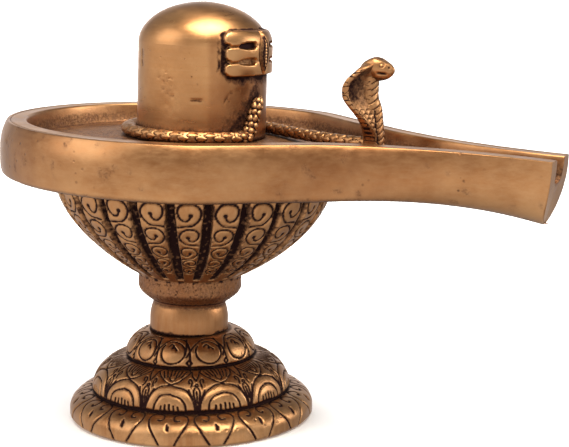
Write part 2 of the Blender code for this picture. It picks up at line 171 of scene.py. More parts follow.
def cleaned(mesh):
    # Seams and poles are closed, faces look outwards
    nearly = 0.000004
    bm = bmesh.new()
    bm.from_mesh(mesh)
    bmesh.ops.remove_doubles(bm, verts=bm.verts, dist=nearly)
    bmesh.ops.dissolve_degenerate(bm, edges=bm.edges, dist=nearly)
    bmesh.ops.recalc_face_normals(bm, faces=bm.faces)
    bm.to_mesh(mesh)
    bm.free()
    mesh.shade_smooth()
    return mesh


def placed(name, mesh, material, node):
    if not mesh.attributes.get("patina_and_shade"):
        addValues(mesh, "patina_and_shade", np.zeros(len(mesh.vertices)))
    obj = bpy.data.objects.new(name, mesh)
    bpy.context.scene.collection.objects.link(obj)
    mesh.materials.append(material)
    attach(obj, "root")
    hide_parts(node)
    return obj


def wrappedMesh(name, across, along):
    # A flat grid, to be bent round into a skin: u runs once round, v from end to end
    bm = bmesh.new()
    bmesh.ops.create_grid(bm, x_segments=across, y_segments=along, size=0.5)
    mesh = bpy.data.meshes.new(name)
    bm.to_mesh(mesh)
    bm.free()
    x, y, z = readPoints(mesh)
    return mesh, x + 0.5, y + 0.5


def turnedMesh(name, profile, steps):
    # A grid bent round an axis: a profile of (radius, height, number), with the number kept for each point
    mesh, u, v = wrappedMesh(name, steps, len(profile) - 1)
    rows = np.array(profile, dtype=float)[np.round(v * (len(profile) - 1)).astype(int)]
    return mesh, rows[:, 0], (2.0 * u - 1.0) * math.pi, rows[:, 1], rows[:, 2]


def resampled(points, count):
    # The same line in equal steps, each with its share of the way along
    pts = np.array([p[:2] for p in points], dtype=float)
    steps = np.concatenate([[0.0], np.cumsum(np.hypot(*np.diff(pts, axis=0).T))])
    spots = np.linspace(0.0, steps[-1], count)
    return np.interp(spots, steps, pts[:, 0]), np.interp(spots, steps, pts[:, 1]), spots / steps[-1]


# Brass finishes
def nodeTools(tree):
    def add(kind, **values):
        node = tree.nodes.new(kind)
        for key, value in values.items():
            setattr(node, key, value)
        return node

    def join(a, b):
        tree.links.new(a, b)

    def fit(value, low, high, toLow, toHigh, kind="LINEAR"):
        node = add("ShaderNodeMapRange", interpolation_type=kind)
        for key, number in (("From Min", low), ("From Max", high), ("To Min", toLow), ("To Max", toHigh)):
            node.inputs[key].default_value = number
        join(value, node.inputs["Value"])
        return node.outputs["Result"]

    return add, join, fit


def agedBrass(name, look):
    # Worn brass: mottled metal, dark wax and painted shade in the recesses, brushed lines, pits, grainy
    # patches, and browning that is patina in places and painted shade in others
    material = bpy.data.materials.new(name)
    material.use_nodes = True
    shader = material.node_tree.nodes["Principled BSDF"]
    add, join, fit = nodeTools(material.node_tree)
    shader.inputs["Metallic"].default_value = 1.0
    place = add("ShaderNodeTexCoord").outputs["Object"]

    def noiseNode(scale, detail, stretch=(1, 1, 1), rough=0.55):
        mapping = add("ShaderNodeMapping")
        mapping.inputs["Scale"].default_value = stretch
        join(place, mapping.inputs["Vector"])
        tex = add("ShaderNodeTexNoise")
        tex.inputs["Scale"].default_value = scale
        tex.inputs["Detail"].default_value = detail
        tex.inputs["Roughness"].default_value = rough
        join(mapping.outputs["Vector"], tex.inputs["Vector"])
        return tex.outputs["Fac"]

    def ramp(value, stops):
        node = add("ShaderNodeValToRGB")
        points = node.color_ramp.elements
        points[0].position, points[0].color = stops[0][0], (*stops[0][1], 1.0)
        points[1].position, points[1].color = stops[-1][0], (*stops[-1][1], 1.0)
        for spot, colour in stops[1:-1]:
            points.new(spot).color = (*colour, 1.0)
        join(value, node.inputs["Fac"])
        return node.outputs["Color"]

    def work(kind, a, b):
        node = add("ShaderNodeMath", operation=kind)
        for slot, value in ((0, a), (1, b)):
            if isinstance(value, (int, float)):
                node.inputs[slot].default_value = value
            else:
                join(value, node.inputs[slot])
        return node.outputs["Value"]

    def mixed(factor, a, b):
        node = add("ShaderNodeMix", data_type="RGBA")
        for key, value in (("Factor", factor), ("A", a), ("B", b)):
            wanted = "VALUE" if key == "Factor" else "RGBA"
            socket = [s for s in node.inputs if s.name == key and s.type == wanted][0]
            if isinstance(value, tuple):
                socket.default_value = (*value, 1.0)
            else:
                join(value, socket)
        return [s for s in node.outputs if s.type == "RGBA"][0]

    def bump(height, strength, distance, under=None):
        node = add("ShaderNodeBump")
        node.inputs["Strength"].default_value = strength
        node.inputs["Distance"].default_value = distance
        join(height, node.inputs["Height"])
        if under:
            join(under, node.inputs["Normal"])
        return node.outputs["Normal"]

    recess, grain, patina_and_shade = (add("ShaderNodeAttribute", attribute_name=key).outputs["Fac"]
                             for key in ("recess", "grain", "patina_and_shade"))

    cloud = noiseNode(look["cloudScale"], 4.0)
    metal = ramp(cloud, [(0.30, look["dark"]), (0.52, look["mid"]), (0.72, look["light"])])
    fine = noiseNode(900.0, 3.0)
    streak = noiseNode(look["brushScale"], 3.0, look["brushStretch"], 0.7)
    metal = mixed(fit(streak, 0.35, 0.7, 0.0, look["brushColour"]), metal, look["streakColour"])

    # Browner metal, in soft uneven clouds: patina in some places, painted shade in others
    cloudy = fit(noiseNode(120.0, 3.0), 0.35, 0.65, 0.75, 1.15)
    metal = mixed(work("MULTIPLY", patina_and_shade, cloudy), metal, look["patinaAndShadeColour"])

    # Grainy places keep dark wax between bright points of metal
    speck = noiseNode(1500.0, 2.0, rough=0.8)
    coarse = noiseNode(420.0, 3.0, rough=0.7)
    speckMask = fit(speck, 0.44, 0.60, 0.0, 1.0)
    grainDark = work("MULTIPLY", grain, fit(coarse, 0.40, 0.62, 1.0, 0.35))
    wax = mixed(speckMask, look["wax"], look["waxLight"])
    metal = mixed(grainDark, metal, wax)

    # Small pits over the plain faces
    pits = add("ShaderNodeTexVoronoi", feature="F1")
    pits.inputs["Scale"].default_value = look["pitScale"]
    join(place, pits.inputs["Vector"])
    pitArea = fit(noiseNode(look["pitScale"] * 0.12, 2.0), 0.56, 0.68, 0.0, 1.0)
    pit = work("MULTIPLY", fit(pits.outputs["Distance"], 0.10, 0.20, 1.0, 0.0), pitArea)
    metal = mixed(work("MULTIPLY", pit, look["pitDark"]), metal, look["recess"])

    # Recesses, darkened with wax and painted shade: the attribute is broken up a little so that no edge is
    # drawn with a ruler
    worn = work("ADD", recess, fit(fine, 0.3, 0.7, -0.16, 0.16))
    held = fit(worn, 0.22, 0.80, 0.0, 1.0)
    metal = mixed(held, metal, look["recess"])
    join(metal, shader.inputs["Base Color"])

    rough = fit(streak, 0.3, 0.7, look["roughness"] - 0.06, look["roughness"] + 0.07)
    rough = work("ADD", rough, work("MULTIPLY", held, 0.30))
    rough = work("ADD", rough, work("MULTIPLY", grain, 0.22))
    join(rough, shader.inputs["Roughness"])

    grainHeight = work("SUBTRACT", work("MULTIPLY", speck, grain), work("MULTIPLY", pit, 0.6))
    brushed = bump(streak, look["brushBump"], 0.0002)
    grainy = bump(grainHeight, look["grainBump"], 0.0004, brushed)
    dented = bump(noiseNode(look["handScale"], 2.0), look["handBump"], 0.0006, grainy)
    join(dented, shader.inputs["Normal"])
    return material


brassLook = {
    "dark": (0.30, 0.128, 0.046),
    "mid": (0.44, 0.212, 0.084),
    "light": (0.56, 0.30, 0.130),
    "recess": (0.030, 0.013, 0.012),
    "wax": (0.040, 0.020, 0.021),
    "waxLight": (0.30, 0.15, 0.085),
    "streakColour": (0.62, 0.37, 0.18),
    "patinaAndShadeColour": (0.20, 0.066, 0.024),
    "cloudScale": 38.0,
    "brushScale": 420.0,
    "brushStretch": (1.0, 1.0, 0.12),
    "brushColour": 0.35,
    "brushBump": 0.18,
    "grainBump": 0.6,
    "roughness": 0.34,
    "pitScale": 260.0,
    "pitDark": 0.7,
    "handScale": 90.0,
    "handBump": 0.25,
}

footBrass = agedBrass("footBrass", {**brassLook, "roughness": 0.33, "pitDark": 0.4})
cupBrass = agedBrass("cupBrass", {**brassLook, "roughness": 0.38})
basinBrass = agedBrass("basinBrass", {**brassLook, "brushStretch": (0.35, 0.35, 1.0), "roughness": 0.33})
lingamLook = {
    "mid": (0.475, 0.228, 0.088),
    "light": (0.60, 0.32, 0.135),
    "brushStretch": (0.12, 0.12, 1.0),
    "brushColour": 0.25,
    "brushBump": 0.10,
    "roughness": 0.31,
    "pitScale": 420.0,
    "pitDark": 0.5,
}
lingamBrass = agedBrass("lingamBrass", {**brassLook, **lingamLook})
cobraBrass = agedBrass("cobraBrass", {**brassLook, "roughness": 0.36, "pitDark": 0.3})


# Camera, floor and light
cameraLook = {
    "place": (0.28056, -0.57523, 0.19909),
    "tiltDeg": 79.52,
    "turnDeg": 22.47,
    "lens": 98.93,
}


def addCamera():
    data = bpy.data.cameras.new("camera")
    data.lens = cameraLook["lens"]
    data.sensor_width = 36.0
    data.sensor_fit = "HORIZONTAL"
    data.clip_start = 0.01
    camera = bpy.data.objects.new("camera", data)
    camera.location = cameraLook["place"]
    camera.rotation_euler = (math.radians(cameraLook["tiltDeg"]), 0.0, math.radians(cameraLook["turnDeg"]))
    bpy.context.scene.collection.objects.link(camera)
    bpy.context.scene.camera = camera


floorLook = {
    "size": 18.0,
    "tone": (0.92, 0.95),
    "lift": 0.05,
}


def addFloor():
    bm = bmesh.new()
    bmesh.ops.create_grid(bm, x_segments=2, y_segments=2, size=floorLook["size"] / 2)
    mesh = bpy.data.meshes.new("floor")
    bm.to_mesh(mesh)
    bm.free()
    floor = bpy.data.objects.new("floor", mesh)
    bpy.context.scene.collection.objects.link(floor)
    paint = bpy.data.materials.new("palePaper")
    paint.use_nodes = True
    shader = paint.node_tree.nodes["Principled BSDF"]
    add, join, fit = nodeTools(paint.node_tree)
    tex = add("ShaderNodeTexNoise")
    tex.inputs["Scale"].default_value = 3.0
    join(add("ShaderNodeTexCoord").outputs["Object"], tex.inputs["Vector"])
    join(fit(tex.outputs["Fac"], 0.0, 1.0, *floorLook["tone"]), shader.inputs["Base Color"])
    shader.inputs["Roughness"].default_value = 0.9
    shader.inputs["Emission Color"].default_value = (1.0, 1.0, 1.0, 1.0)
    shader.inputs["Emission Strength"].default_value = floorLook["lift"]
    mesh.materials.append(paint)
    # The paper lights the metal only softly, through the room, as a matt table does
    floor.visible_glossy = False


lightLook = {
    # How bright the room is from straight down to straight up, and its warmth
    "room": ((0.0, 0.85), (0.25, 1.20), (0.41, 1.02), (0.57, 0.85), (0.72, 0.50), (1.0, 0.40)),
    "tint": (1.0, 0.975, 0.96),
    # The front is pale and the back dim, with a pale sheet straight behind the piece
    "paleSide": (-0.174, -0.985, 0.0),
    "paleRange": (-0.7, 0.6),
    "dimShare": 0.50,
    "paleShare": 1.12,
    "sheetSide": (-0.438, 0.899, 0.0),
    "sheetRange": (0.84, 0.97),
    "sheetShare": 1.1,
    "lampTint": (1.0, 0.95, 0.84),
    # Power, place, size, spread in degrees, and the point it is aimed at
    "key": (3.0, (-0.95, -0.95, 0.95), 1.3, 90, (0.0, 0.0, 0.1)),
    "top": (8.0, (0.28, -0.17, 1.20), 1.0, 80, (0.0, 0.0, 0.1)),
    "wash": (125.0, (-1.15, 2.35, 2.4), 4.0, 120, (-1.15, 2.35, 0.0)),
    "edge": (1.2, (1.05, 0.55, 0.45), 0.5, 90, (0.0, 0.0, 0.1)),
}


def addRoom():
    # A studio with one pale side; the colours read the direction alone
    world = bpy.data.worlds.new("softRoom")
    world.use_nodes = True
    back = world.node_tree.nodes["Background"]
    add, join, fit = nodeTools(world.node_tree)
    direction = add("ShaderNodeTexCoord").outputs["Generated"]

    def facing(side):
        node = add("ShaderNodeVectorMath", operation="DOT_PRODUCT")
        node.inputs[1].default_value = side
        join(direction, node.inputs[0])
        return node.outputs["Value"]

    split = add("ShaderNodeSeparateXYZ")
    join(direction, split.inputs["Vector"])
    tone = add("ShaderNodeValToRGB")
    points = tone.color_ramp.elements
    while len(points) < len(lightLook["room"]):
        points.new(0.5)
    for point, (place, level) in zip(points, lightLook["room"]):
        point.position = place
        point.color = (*[level * t for t in lightLook["tint"]], 1.0)
    join(fit(split.outputs["Z"], -1.0, 1.0, 0.0, 1.0), tone.inputs["Fac"])
    join(tone.outputs["Color"], back.inputs["Color"])
    shares = (lightLook["dimShare"], lightLook["paleShare"])
    share = fit(facing(lightLook["paleSide"]), *lightLook["paleRange"], *shares, "SMOOTHSTEP")
    sheetAt = facing(lightLook["sheetSide"])
    sheet = fit(sheetAt, *lightLook["sheetRange"], 0.0, lightLook["sheetShare"], "SMOOTHSTEP")
    total = add("ShaderNodeMath", operation="ADD")
    join(share, total.inputs[0])
    join(sheet, total.inputs[1])
    join(total.outputs["Value"], back.inputs["Strength"])
    bpy.context.scene.world = world


def addLights():
    for name in ("key", "top", "wash", "edge"):
        power, place, size, spread, target = lightLook[name]
        data = bpy.data.lights.new(name, "AREA")
        data.shape = "SQUARE"
        data.size = size
        data.energy = power
        data.spread = math.radians(spread)
        data.color = lightLook["lampTint"] if name == "top" else (1.0, 1.0, 1.0)
        lamp = bpy.data.objects.new(name, data)
        lamp.location = place
        aim = Vector(target) - Vector(place)
        lamp.rotation_euler = aim.to_track_quat("-Z", "Y").to_euler()
        # The wash is for the paper alone
        lamp.visible_glossy = name != "wash"
        bpy.context.scene.collection.objects.link(lamp)
    bpy.context.scene.view_settings.view_transform = "Standard"


addCamera()
addFloor()
addRoom()
addLights()
print("camera, floor and lights are up")


# Foot
foot = {
    "lipR": 49.2,
    "tier1R": 51.2,
    "sideLow": 1.6,
    "sideHigh": 4.2,
    "groove1": (41.7, 11.2),
    "groove2": (27.4, 25.6),
    "top": (17.2, 36.4),
    "grooveDepth": 1.1,
    "hearts": (-56.5, -34.5, -11.7, 11.2, 33.9, 56.0),
    "arches": (-43.7, -12.6, 19.0, 50.0),
    "loops": (-46.0, -18.5, 17.5, 49.0),
    # How many of each go round, and how wide and high one is drawn
    "motifs": {"hearts": (16, 20.1, 12.3), "arches": (12, 19.0, 20.5), "loops": (12, 12.6, 16.5)},
    "wander": (0.022, 0.030),
    "lineDepth": 0.52,
    "lineWidth": 0.95,
    "steps": 736,
}


def quarterRound(rIn, zIn, rOut, zOut, steps):
    # A tier's profile from its inner, upper end to its outer, lower end
    a = np.linspace(0.0, math.pi / 2, steps + 1)
    return list(zip(rIn + (rOut - rIn) * np.sin(a) ** 1.08, zOut + (zIn - zOut) * np.cos(a) ** 1.05))


def heartLines():
    # Both sides of an open heart with curled tops, u across (share of the pitch), v down
    side = curveThrough([
        (0.235, 0.31), (0.165, 0.33), (0.115, 0.25), (0.125, 0.13), (0.20, 0.055), (0.30, 0.05),
        (0.39, 0.13), (0.43, 0.28), (0.40, 0.46), (0.32, 0.66), (0.22, 0.86), (0.15, 1.02),
    ])
    ticks = [[(0.0, 0.46), (0.0, 0.60)], [(0.035, 0.52), (0.03, 0.62)]]
    return [side, mirrored(side)] + ticks


def archLines():
    # An arch over a smaller one, with a curled petal on top and leaves between neighbours
    outer = curveThrough([(0.46, 1.0), (0.42, 0.80), (0.32, 0.62), (0.18, 0.53), (0.0, 0.49)])
    inner = curveThrough([(0.30, 1.0), (0.27, 0.84), (0.17, 0.72), (0.0, 0.68)])
    petal = curveThrough([(0.0, 0.47), (0.13, 0.41), (0.28, 0.29), (0.385, 0.15), (0.36, 0.03),
                          (0.30, -0.03)])
    lines = [outer, mirrored(outer), inner, mirrored(inner), petal, mirrored(petal)]
    # Fan strokes in the petal, and a scalloped row under the inner arch
    for k in range(-3, 4):
        a = k * 0.088
        start = 0.20 + 0.02 * abs(k)
        lines.append([(a * 0.70, start + 0.05), (a * 1.12, 0.035 + 0.02 * abs(k))])
    lines.append(curveThrough([(-0.075, 0.30), (-0.04, 0.36), (0.0, 0.38), (0.04, 0.36), (0.075, 0.30)], 3))
    for k in range(-2, 3):
        a = k * 0.085
        lines.append([(a, 0.99), (a * 0.92, 0.86 + abs(k) * 0.02)])
    leaf = curveThrough([(0.5, 1.0), (0.465, 0.82), (0.44, 0.64), (0.462, 0.56)])
    blade = curveThrough([(0.5, 0.96), (0.40, 0.72), (0.345, 0.585)])
    curl = curveThrough([(0.39, 0.53), (0.42, 0.42), (0.385, 0.34), (0.35, 0.38), (0.365, 0.44)])
    dot = [(0.5 - 0.028 * math.cos(a), 0.50 + 0.032 * math.sin(a)) for a in np.linspace(0, 6.3, 12)]
    tick = [(0.5, 0.84), (0.5, 0.62)]
    high = curveThrough([(0.5, 0.40), (0.44, 0.27), (0.41, 0.10)])
    for line in (leaf, blade, curl, dot, tick, high):
        lines += [mirrored(line), line]
    return lines


def loopLines():
    # An open loop with a squiggle in it, under an arch that runs on into the next ones
    ring = [(0.36 * math.cos(a), 0.60 + 0.33 * math.sin(a)) for a in np.linspace(-2.0, 3.75, 30)]
    squiggle = curveThrough([(-0.12, 0.44), (-0.04, 0.37), (0.03, 0.42), (0.0, 0.50), (0.07, 0.47),
                             (0.14, 0.55)])
    arch = curveThrough([(-0.60, 0.74), (-0.46, 0.50), (-0.24, 0.25), (0.05, 0.12), (0.33, 0.20),
                         (0.46, 0.48), (0.50, 0.84)])
    rise = curveThrough([(0.36, 0.66), (0.39, 0.42), (0.36, 0.14)])
    lines = [ring, squiggle, arch, rise]
    lines += [[(p[0] + pitch, p[1]) for p in arch] for pitch in (-1.0, 1.0)]
    for x in (0.47, -0.53):
        lines.append([(x, 0.82), (x + 0.06, 0.90), (x, 0.98), (x - 0.06, 0.90), (x, 0.82)])
    return lines


def makeFoot():
    g1r, g1z = foot["groove1"]
    g2r, g2z = foot["groove2"]
    topR, topZ = foot["top"]
    cut = foot["grooveDepth"]
    rows = [(0.0, topZ, 0.0), (10.0, topZ, 0.0)]

    def tier(number, points, count):
        r, z, share = resampled(points, count)
        rows.extend((a, b, number + 0.001 + 0.998 * s) for a, b, s in zip(r, z, share))

    tier(3, quarterRound(topR, topZ, g2r, g2z + cut, 24), 36)
    rows.append((g2r - cut, g2z, 9.0))
    tier(2, quarterRound(g2r, g2z, g1r, g1z + cut, 24), 46)
    rows.append((g1r - cut, g1z, 9.0))
    side = quarterRound(g1r, g1z, foot["tier1R"], foot["sideHigh"], 24)
    tier(1, side + [(foot["tier1R"], foot["sideLow"])], 34)
    rows.append((foot["lipR"] + 0.8, 0.5, 0.5))
    rows.append((foot["lipR"], 0.0, 0.0))
    rows += [(36.0, 0.0, 0.0), (18.0, 0.0, 0.0), (0.0, 0.0, 0.0)]
    mesh, r, angle, z, along = turnedMesh("foot", rows, foot["steps"])

    deg = np.degrees(angle) - viewAngle
    # The hand that cut the lines was free, so every line wanders a little
    x0, y0 = r * np.cos(angle), r * np.sin(angle)
    wanderU = noiseAt(x0, y0, z, 6.0, 1.0) * foot["wander"][0]
    wanderV = noiseAt(x0, y0, z, 6.0, 2.0) * foot["wander"][1]
    ink = np.zeros_like(r)
    drawings = (("hearts", heartLines()), ("arches", archLines()), ("loops", loopLines()))
    for number, (name, lines) in enumerate(drawings, 1):
        count, pitch, depth = foot["motifs"][name]
        here = (along > number) & (along < number + 1)
        u = motifPlace(deg[here], foot[name], count) + wanderU[here]
        v = along[here] - number + wanderV[here]
        sized = [scaledLine(line, pitch, depth) for line in lines]
        width = foot["lineWidth"] * (0.80 if number > 1 else 0.92)
        ink[here] = inked(u * pitch, v * depth, sized, width)
        lift = 0.55 if name == "loops" else 1.0
        edge = np.maximum(lift * fade(v, 0.0, 0.045), grow(v, 0.955, 0.045) * (number > 1))
        ink[here] = np.maximum(ink[here], edge)
    groove = along > 8.5
    ink[groove] = 1.0
    uneven = 1.0 + 0.35 * wanderU / foot["wander"][0]
    radial = r - ink * foot["lineDepth"] * (along > 0.9) * (along < 8.5) * uneven
    lumps = noiseAt(x0, y0, z, 9.0, 3.0)
    radial = radial - 0.12 * (1.0 + lumps) * (along > 0.9)
    writePoints(mesh, *upright(radial * np.cos(angle), radial * np.sin(angle), z))
    rough = noiseAt(x0, y0, z, 4.0, 4.0)
    addValues(mesh, "recess", np.clip(ink * (0.92 + 0.12 * rough), 0, 1))
    addValues(mesh, "grain", np.clip(0.12 + 0.35 * ink + 0.25 * smoothStep(rough), 0, 1))
    return placed("foot", cleaned(mesh), footBrass, "foot")


makeFoot()
print("foot is carved")


# Cup: collar, ring and ribbed bowl
cup = {
    "lowZ": 36.7,
    "collarFootR": 16.4,
    "collarR": 15.3,
    "collarTopZ": 47.6,
    "ringR": 21.6,
    "ringLowZ": 48.4,
    "ringTopZ": 58.4,
    "waistShift": 0.8,
    "waistShiftDeg": 202.5,
    "bowlFootR": 21.6,
    "bowlFootZ": 60.6,
    "bowlR": 57.5,
    "topZ": 101.6,
    "plateZ": 101.9,
    # Heights of the dark lines: at the foot of the ribs, and above and below the ring's lower edge
    "ribFootZ": 60.4,
    "ringLineZ": 49.7,
    "ringFootZ": 47.9,
    "ribs": 24,
    "ribShares": (0.75, 0.65, 0.51),
    "ribTurn": 8.85,
    "grooveDepth": 2.7,
    "steps": 744,
    "lineDepth": 0.55,
    "lineWidth": 0.95,
    "spirals": ((7.9, 5.2), (18.7, 4.4), (28.5, 3.9), (36.4, 3.1), (43.0, 2.7)),
    "ribEnd": 52.0,
}


def bowlRadius(z):
    t = np.clip((z - cup["bowlFootZ"]) / (cup["plateZ"] - cup["bowlFootZ"]), 0.0, 1.0)
    return cup["bowlFootR"] + (cup["bowlR"] - cup["bowlFootR"]) * (1.0 - (1.0 - t) ** 1.9) ** 0.92


def spiralLines():
    # Across the rib from -1 to 1, down it in millimetres. Each spiral turns the other way from the last
    curl = curveThrough([
        (0.12, -0.02), (-0.04, 0.34), (-0.35, 0.47), (-0.69, 0.24), (-0.86, -0.22), (-0.80, -0.66),
        (-0.48, -0.93), (0.12, -1.0), (0.60, -0.74), (0.88, -0.26), (0.82, 0.24), (0.52, 0.67),
        (0.20, 0.90), (-0.35, 0.96), (-0.92, 1.02),
    ], 3)
    lines = []
    dots = []
    side = 1.0
    for mid, half in cup["spirals"]:
        lines.append([(side * p[0], mid + half * p[1]) for p in curl])
        dots.append((side * 0.12, mid - 0.04 * half))
        side = -side
    return lines, dots


def makeCup():
    lowZ = cup["lowZ"]
    midZ = (lowZ + cup["collarTopZ"]) / 2
    rows = [(0.0, lowZ, 0.0), (cup["collarFootR"] - 2.0, lowZ, 0.0), (cup["collarFootR"], lowZ, 1.0)]
    for z in np.linspace(lowZ + 0.4, cup["collarTopZ"] - 0.3, 14):
        narrow = max(0.0, (z - midZ) / (cup["collarTopZ"] - midZ))
        r = cup["collarFootR"] + (cup["collarR"] - cup["collarFootR"]) * narrow ** 1.5
        rows.append((r, z, 1.0 + (z - lowZ) / 12.0))
    ringHigh = cup["ringTopZ"] - cup["ringLowZ"]
    for t in np.linspace(0.0, 1.16, 18):
        swell = math.sin(min(1.0, t / 0.7) * math.pi / 2) ** 1.2
        r = cup["collarR"] + (cup["ringR"] - cup["collarR"]) * swell
        rows.append((r, cup["ringLowZ"] + ringHigh * t, 3.0 + t))
    line = np.linspace(cup["bowlFootZ"] + 0.15, cup["topZ"], 400)
    r, z, share = resampled(list(zip(bowlRadius(line), line)), 94)
    length = float(np.sum(np.hypot(np.diff(r), np.diff(z))))
    rows.extend((a, b, 10.0 + length * (1.0 - s)) for a, b, s in zip(r, z, share))
    rows += [(40.0, cup["topZ"], 0.0), (0.0, cup["topZ"], 0.0)]
    mesh, r, angle, z, along = turnedMesh("bowl", rows, cup["steps"])

    deg = np.degrees(angle) - cup["ribTurn"]
    x0, y0 = r * np.cos(angle), r * np.sin(angle)
    wander = noiseAt(x0, y0, z, 5.0, 5.0)
    turn = deg / 360.0 * cup["ribs"]
    rib = np.round(turn)
    u = turn - rib
    onBowl = along >= 9.9
    s = along - 10.0
    halfRib = np.interp(s, (0.0, 16.0, 46.0), [share / 2.0 for share in cup["ribShares"]])
    wide = halfRib + 0.018 * wander
    # Grooves between the ribs run out just under the plate and just above the ring
    runIn = grow(s, 0.4, 2.2) * fade(s, cup["ribEnd"], 3.0)
    gap = smoothStep((np.abs(u) - wide) / 0.055) * runIn * onBowl
    pitch = 2 * math.pi * r / cup["ribs"]
    ribMm = pitch * halfRib
    lines, dots = spiralLines()
    flip = np.where(np.mod(rib, 2) == 1, 1.0, -1.0)
    ink = np.zeros_like(r)
    here = onBowl & (np.abs(u) < halfRib * 1.05) & (s > 1.5) & (s < cup["ribEnd"])
    across = u[here] / halfRib[here] * flip[here] + 0.03 * wander[here]
    down = s[here] + 0.45 * noiseAt(x0[here], y0[here], z[here], 7.0, 6.0)
    scale = ribMm[here]
    # Distances are taken in millimetres, so the rib's own width at each height is used
    best = distanceTo(across * scale, down, lines, scale)
    for dx0, dy0 in dots:
        best = np.minimum(best, np.maximum(np.hypot((across - dx0) * scale, down - dy0) - 0.45, 0.0))
    width = cup["lineWidth"] * np.clip(scale / 5.0, 0.62, 1.0)
    ink[here] = penned(best, width)
    ink = ink * (1.0 - gap)
    # Dark gaps at the foot of the ribs, and a broken line round the ring's lower edge
    jag = noiseAt(x0, y0, z, 1.8, 8.0)
    ribFoot = fade(np.abs(z - cup["ribFootZ"] - 0.5 * jag), 0.2, 0.7) * (0.35 + 0.5 * (np.abs(u) > 0.3))
    ringLine = fade(np.abs(z - (cup["ringLineZ"] + 0.35 * jag)), 0.15, 0.4) * 0.9
    ringFoot = fade(np.abs(z - cup["ringFootZ"]), 0.3, 0.7) * 0.6
    ringDark = highest(ribFoot, ringLine, ringFoot)
    onRing = (along > 2.9) & (along < 9.0)
    pitted = grow(noiseAt(x0, y0, z, 0.9, 9.0), 0.18, 0.3) * onRing * (z > 50.3)
    radial = r - cup["grooveDepth"] * gap * np.clip(r / 38.0, 0.40, 1.0) - cup["lineDepth"] * ink
    radial = radial - 0.35 * pitted - 0.35 * ringDark * (z < 51)
    rough = noiseAt(x0, y0, z, 1.6, 7.0)
    radial = radial - 0.14 * (1.0 + rough) * (onBowl | onRing) * (0.35 + 0.9 * gap + 0.6 * onRing)
    share = fade(z, cup["ringTopZ"], 0.4 * (cup["plateZ"] - cup["ringTopZ"]))
    off = math.radians(cup["waistShiftDeg"])
    px = radial * np.cos(angle) + cup["waistShift"] * share * math.cos(off)
    py = radial * np.sin(angle) + cup["waistShift"] * share * math.sin(off)
    # The collar's lowest edge follows the level top of the foot
    slope = math.tan(math.radians(lean["degrees"]))
    aim = math.radians(lean["towards"])
    z = z + slope * (px * math.cos(aim) + py * math.sin(aim)) * (z < lowZ + 0.01)
    writePoints(mesh, *leaned(px, py, z))
    edgeSpeck = fade(np.abs(np.abs(u) - wide), 0.0, 0.06) * onBowl * grow(rough, -0.1, 0.3)
    # The braze under the collar is ragged
    seam = 0.8 * fade(z - lowZ - 0.5 - 0.9 * noiseAt(x0, y0, z, 3.5, 4.0), 0.0, 0.8)
    recess = highest(ink * 0.95, ringDark, 0.90 * gap, 0.55 * edgeSpeck, 0.55 * pitted, seam)
    recess = np.clip(recess - 0.35 * gap * grow(rough, 0.15, 0.25), 0, 1)
    grain = np.clip(0.06 + gap * 0.6 + 0.6 * edgeSpeck + 0.45 * onRing, 0, 1)
    addValues(mesh, "recess", recess)
    addValues(mesh, "grain", grain)
    addValues(mesh, "patina_and_shade", np.where(onRing, 0.55, np.where(onBowl, 0.05, 0.30)))
    return placed("bowl", cleaned(mesh), cupBrass, "bowl")


makeCup()
print("cup is ribbed")


# The cobra's way: tail up the front of the lingam, once round its foot, out along the channel
cobra = {
    "bodyR": 2.4,
    "bodyFlat": 1.25,
    "neckR": 4.3,
    "tipR": 1.5,
    "tailRise": 16.5,
    # Where the tail starts and how far it winds, in degrees; then the reach of the curve out to the hood
    "startTurn": -9.0,
    "wound": 291.0,
    "leaveReach": 22.0,
    "hoodReach": 26.0,
    "floorZ": 118.3,
    "lingamR": 26.7,
    "lingamShift": 2.6,
    "hoodX": 77.6,
    "hoodH": 34.0,
    "hoodHalfW": 15.0,
    "hoodThick": 3.4,
    "hoodSweep": 6.1,
    "hoodRidge": 3.4,
    "rimWidth": 2.3,
    "dish": 1.5,
    "plateHigh": 2.5,
    "headSize": (14.0, 11.0, 9.0),
    "scaleLength": 6.6,
    "scaleDepth": 0.55,
}


def coilPath(count):
    t = np.linspace(0.0, 1.0, 700) ** 1.5
    turn = np.radians(cobra["startTurn"] - cobra["wound"] * t)
    rise = cobra["tailRise"] * (1.0 - smoothStep(t / 0.07))
    size = cobra["tipR"] + (cobra["bodyR"] - cobra["tipR"]) * smoothStep(t / 0.09)
    r = cobra["lingamR"] + size * cobra["bodyFlat"]
    x, y = cobra["lingamShift"] + r * np.cos(turn), r * np.sin(turn)
    z = cobra["floorZ"] + size + rise
    heading = math.radians(cobra["startTurn"] - cobra["wound"])
    end = cobra["hoodX"] + 0.5
    leave, arrive = cobra["leaveReach"], end - cobra["hoodReach"]
    on = np.linspace(0.0, 1.0, 140)[1:]
    x = np.concatenate([x, bezier(x[-1], x[-1] + math.sin(heading) * leave, arrive, end, on)])
    y = np.concatenate([y, bezier(y[-1], y[-1] - math.cos(heading) * leave, 0.0, 0.0, on)])
    z = np.concatenate([z, np.full(on.shape, cobra["floorZ"] + cobra["bodyR"])])
    size = np.concatenate([size, np.full(on.shape, cobra["bodyR"])])
    gone = np.concatenate([[0.0], np.cumsum(np.sqrt(np.diff(x) ** 2 + np.diff(y) ** 2 + np.diff(z) ** 2))])
    spots = np.linspace(0.0, gone[-1], count)
    return [np.interp(spots, gone, part) for part in (x, y, z, size)] + [spots]


def nearCobra(x, y, z, reach):
    # 1 against the snake's body, 0 from a set reach away
    best = np.full(x.shape, 1e6)
    for a, b, c, r in zip(*coilPath(90)[:4]):
        best = np.minimum(best, np.sqrt((x - a) ** 2 + (y - b) ** 2 + (z - c) ** 2) - r)
    return fade(best, 0.0, reach)


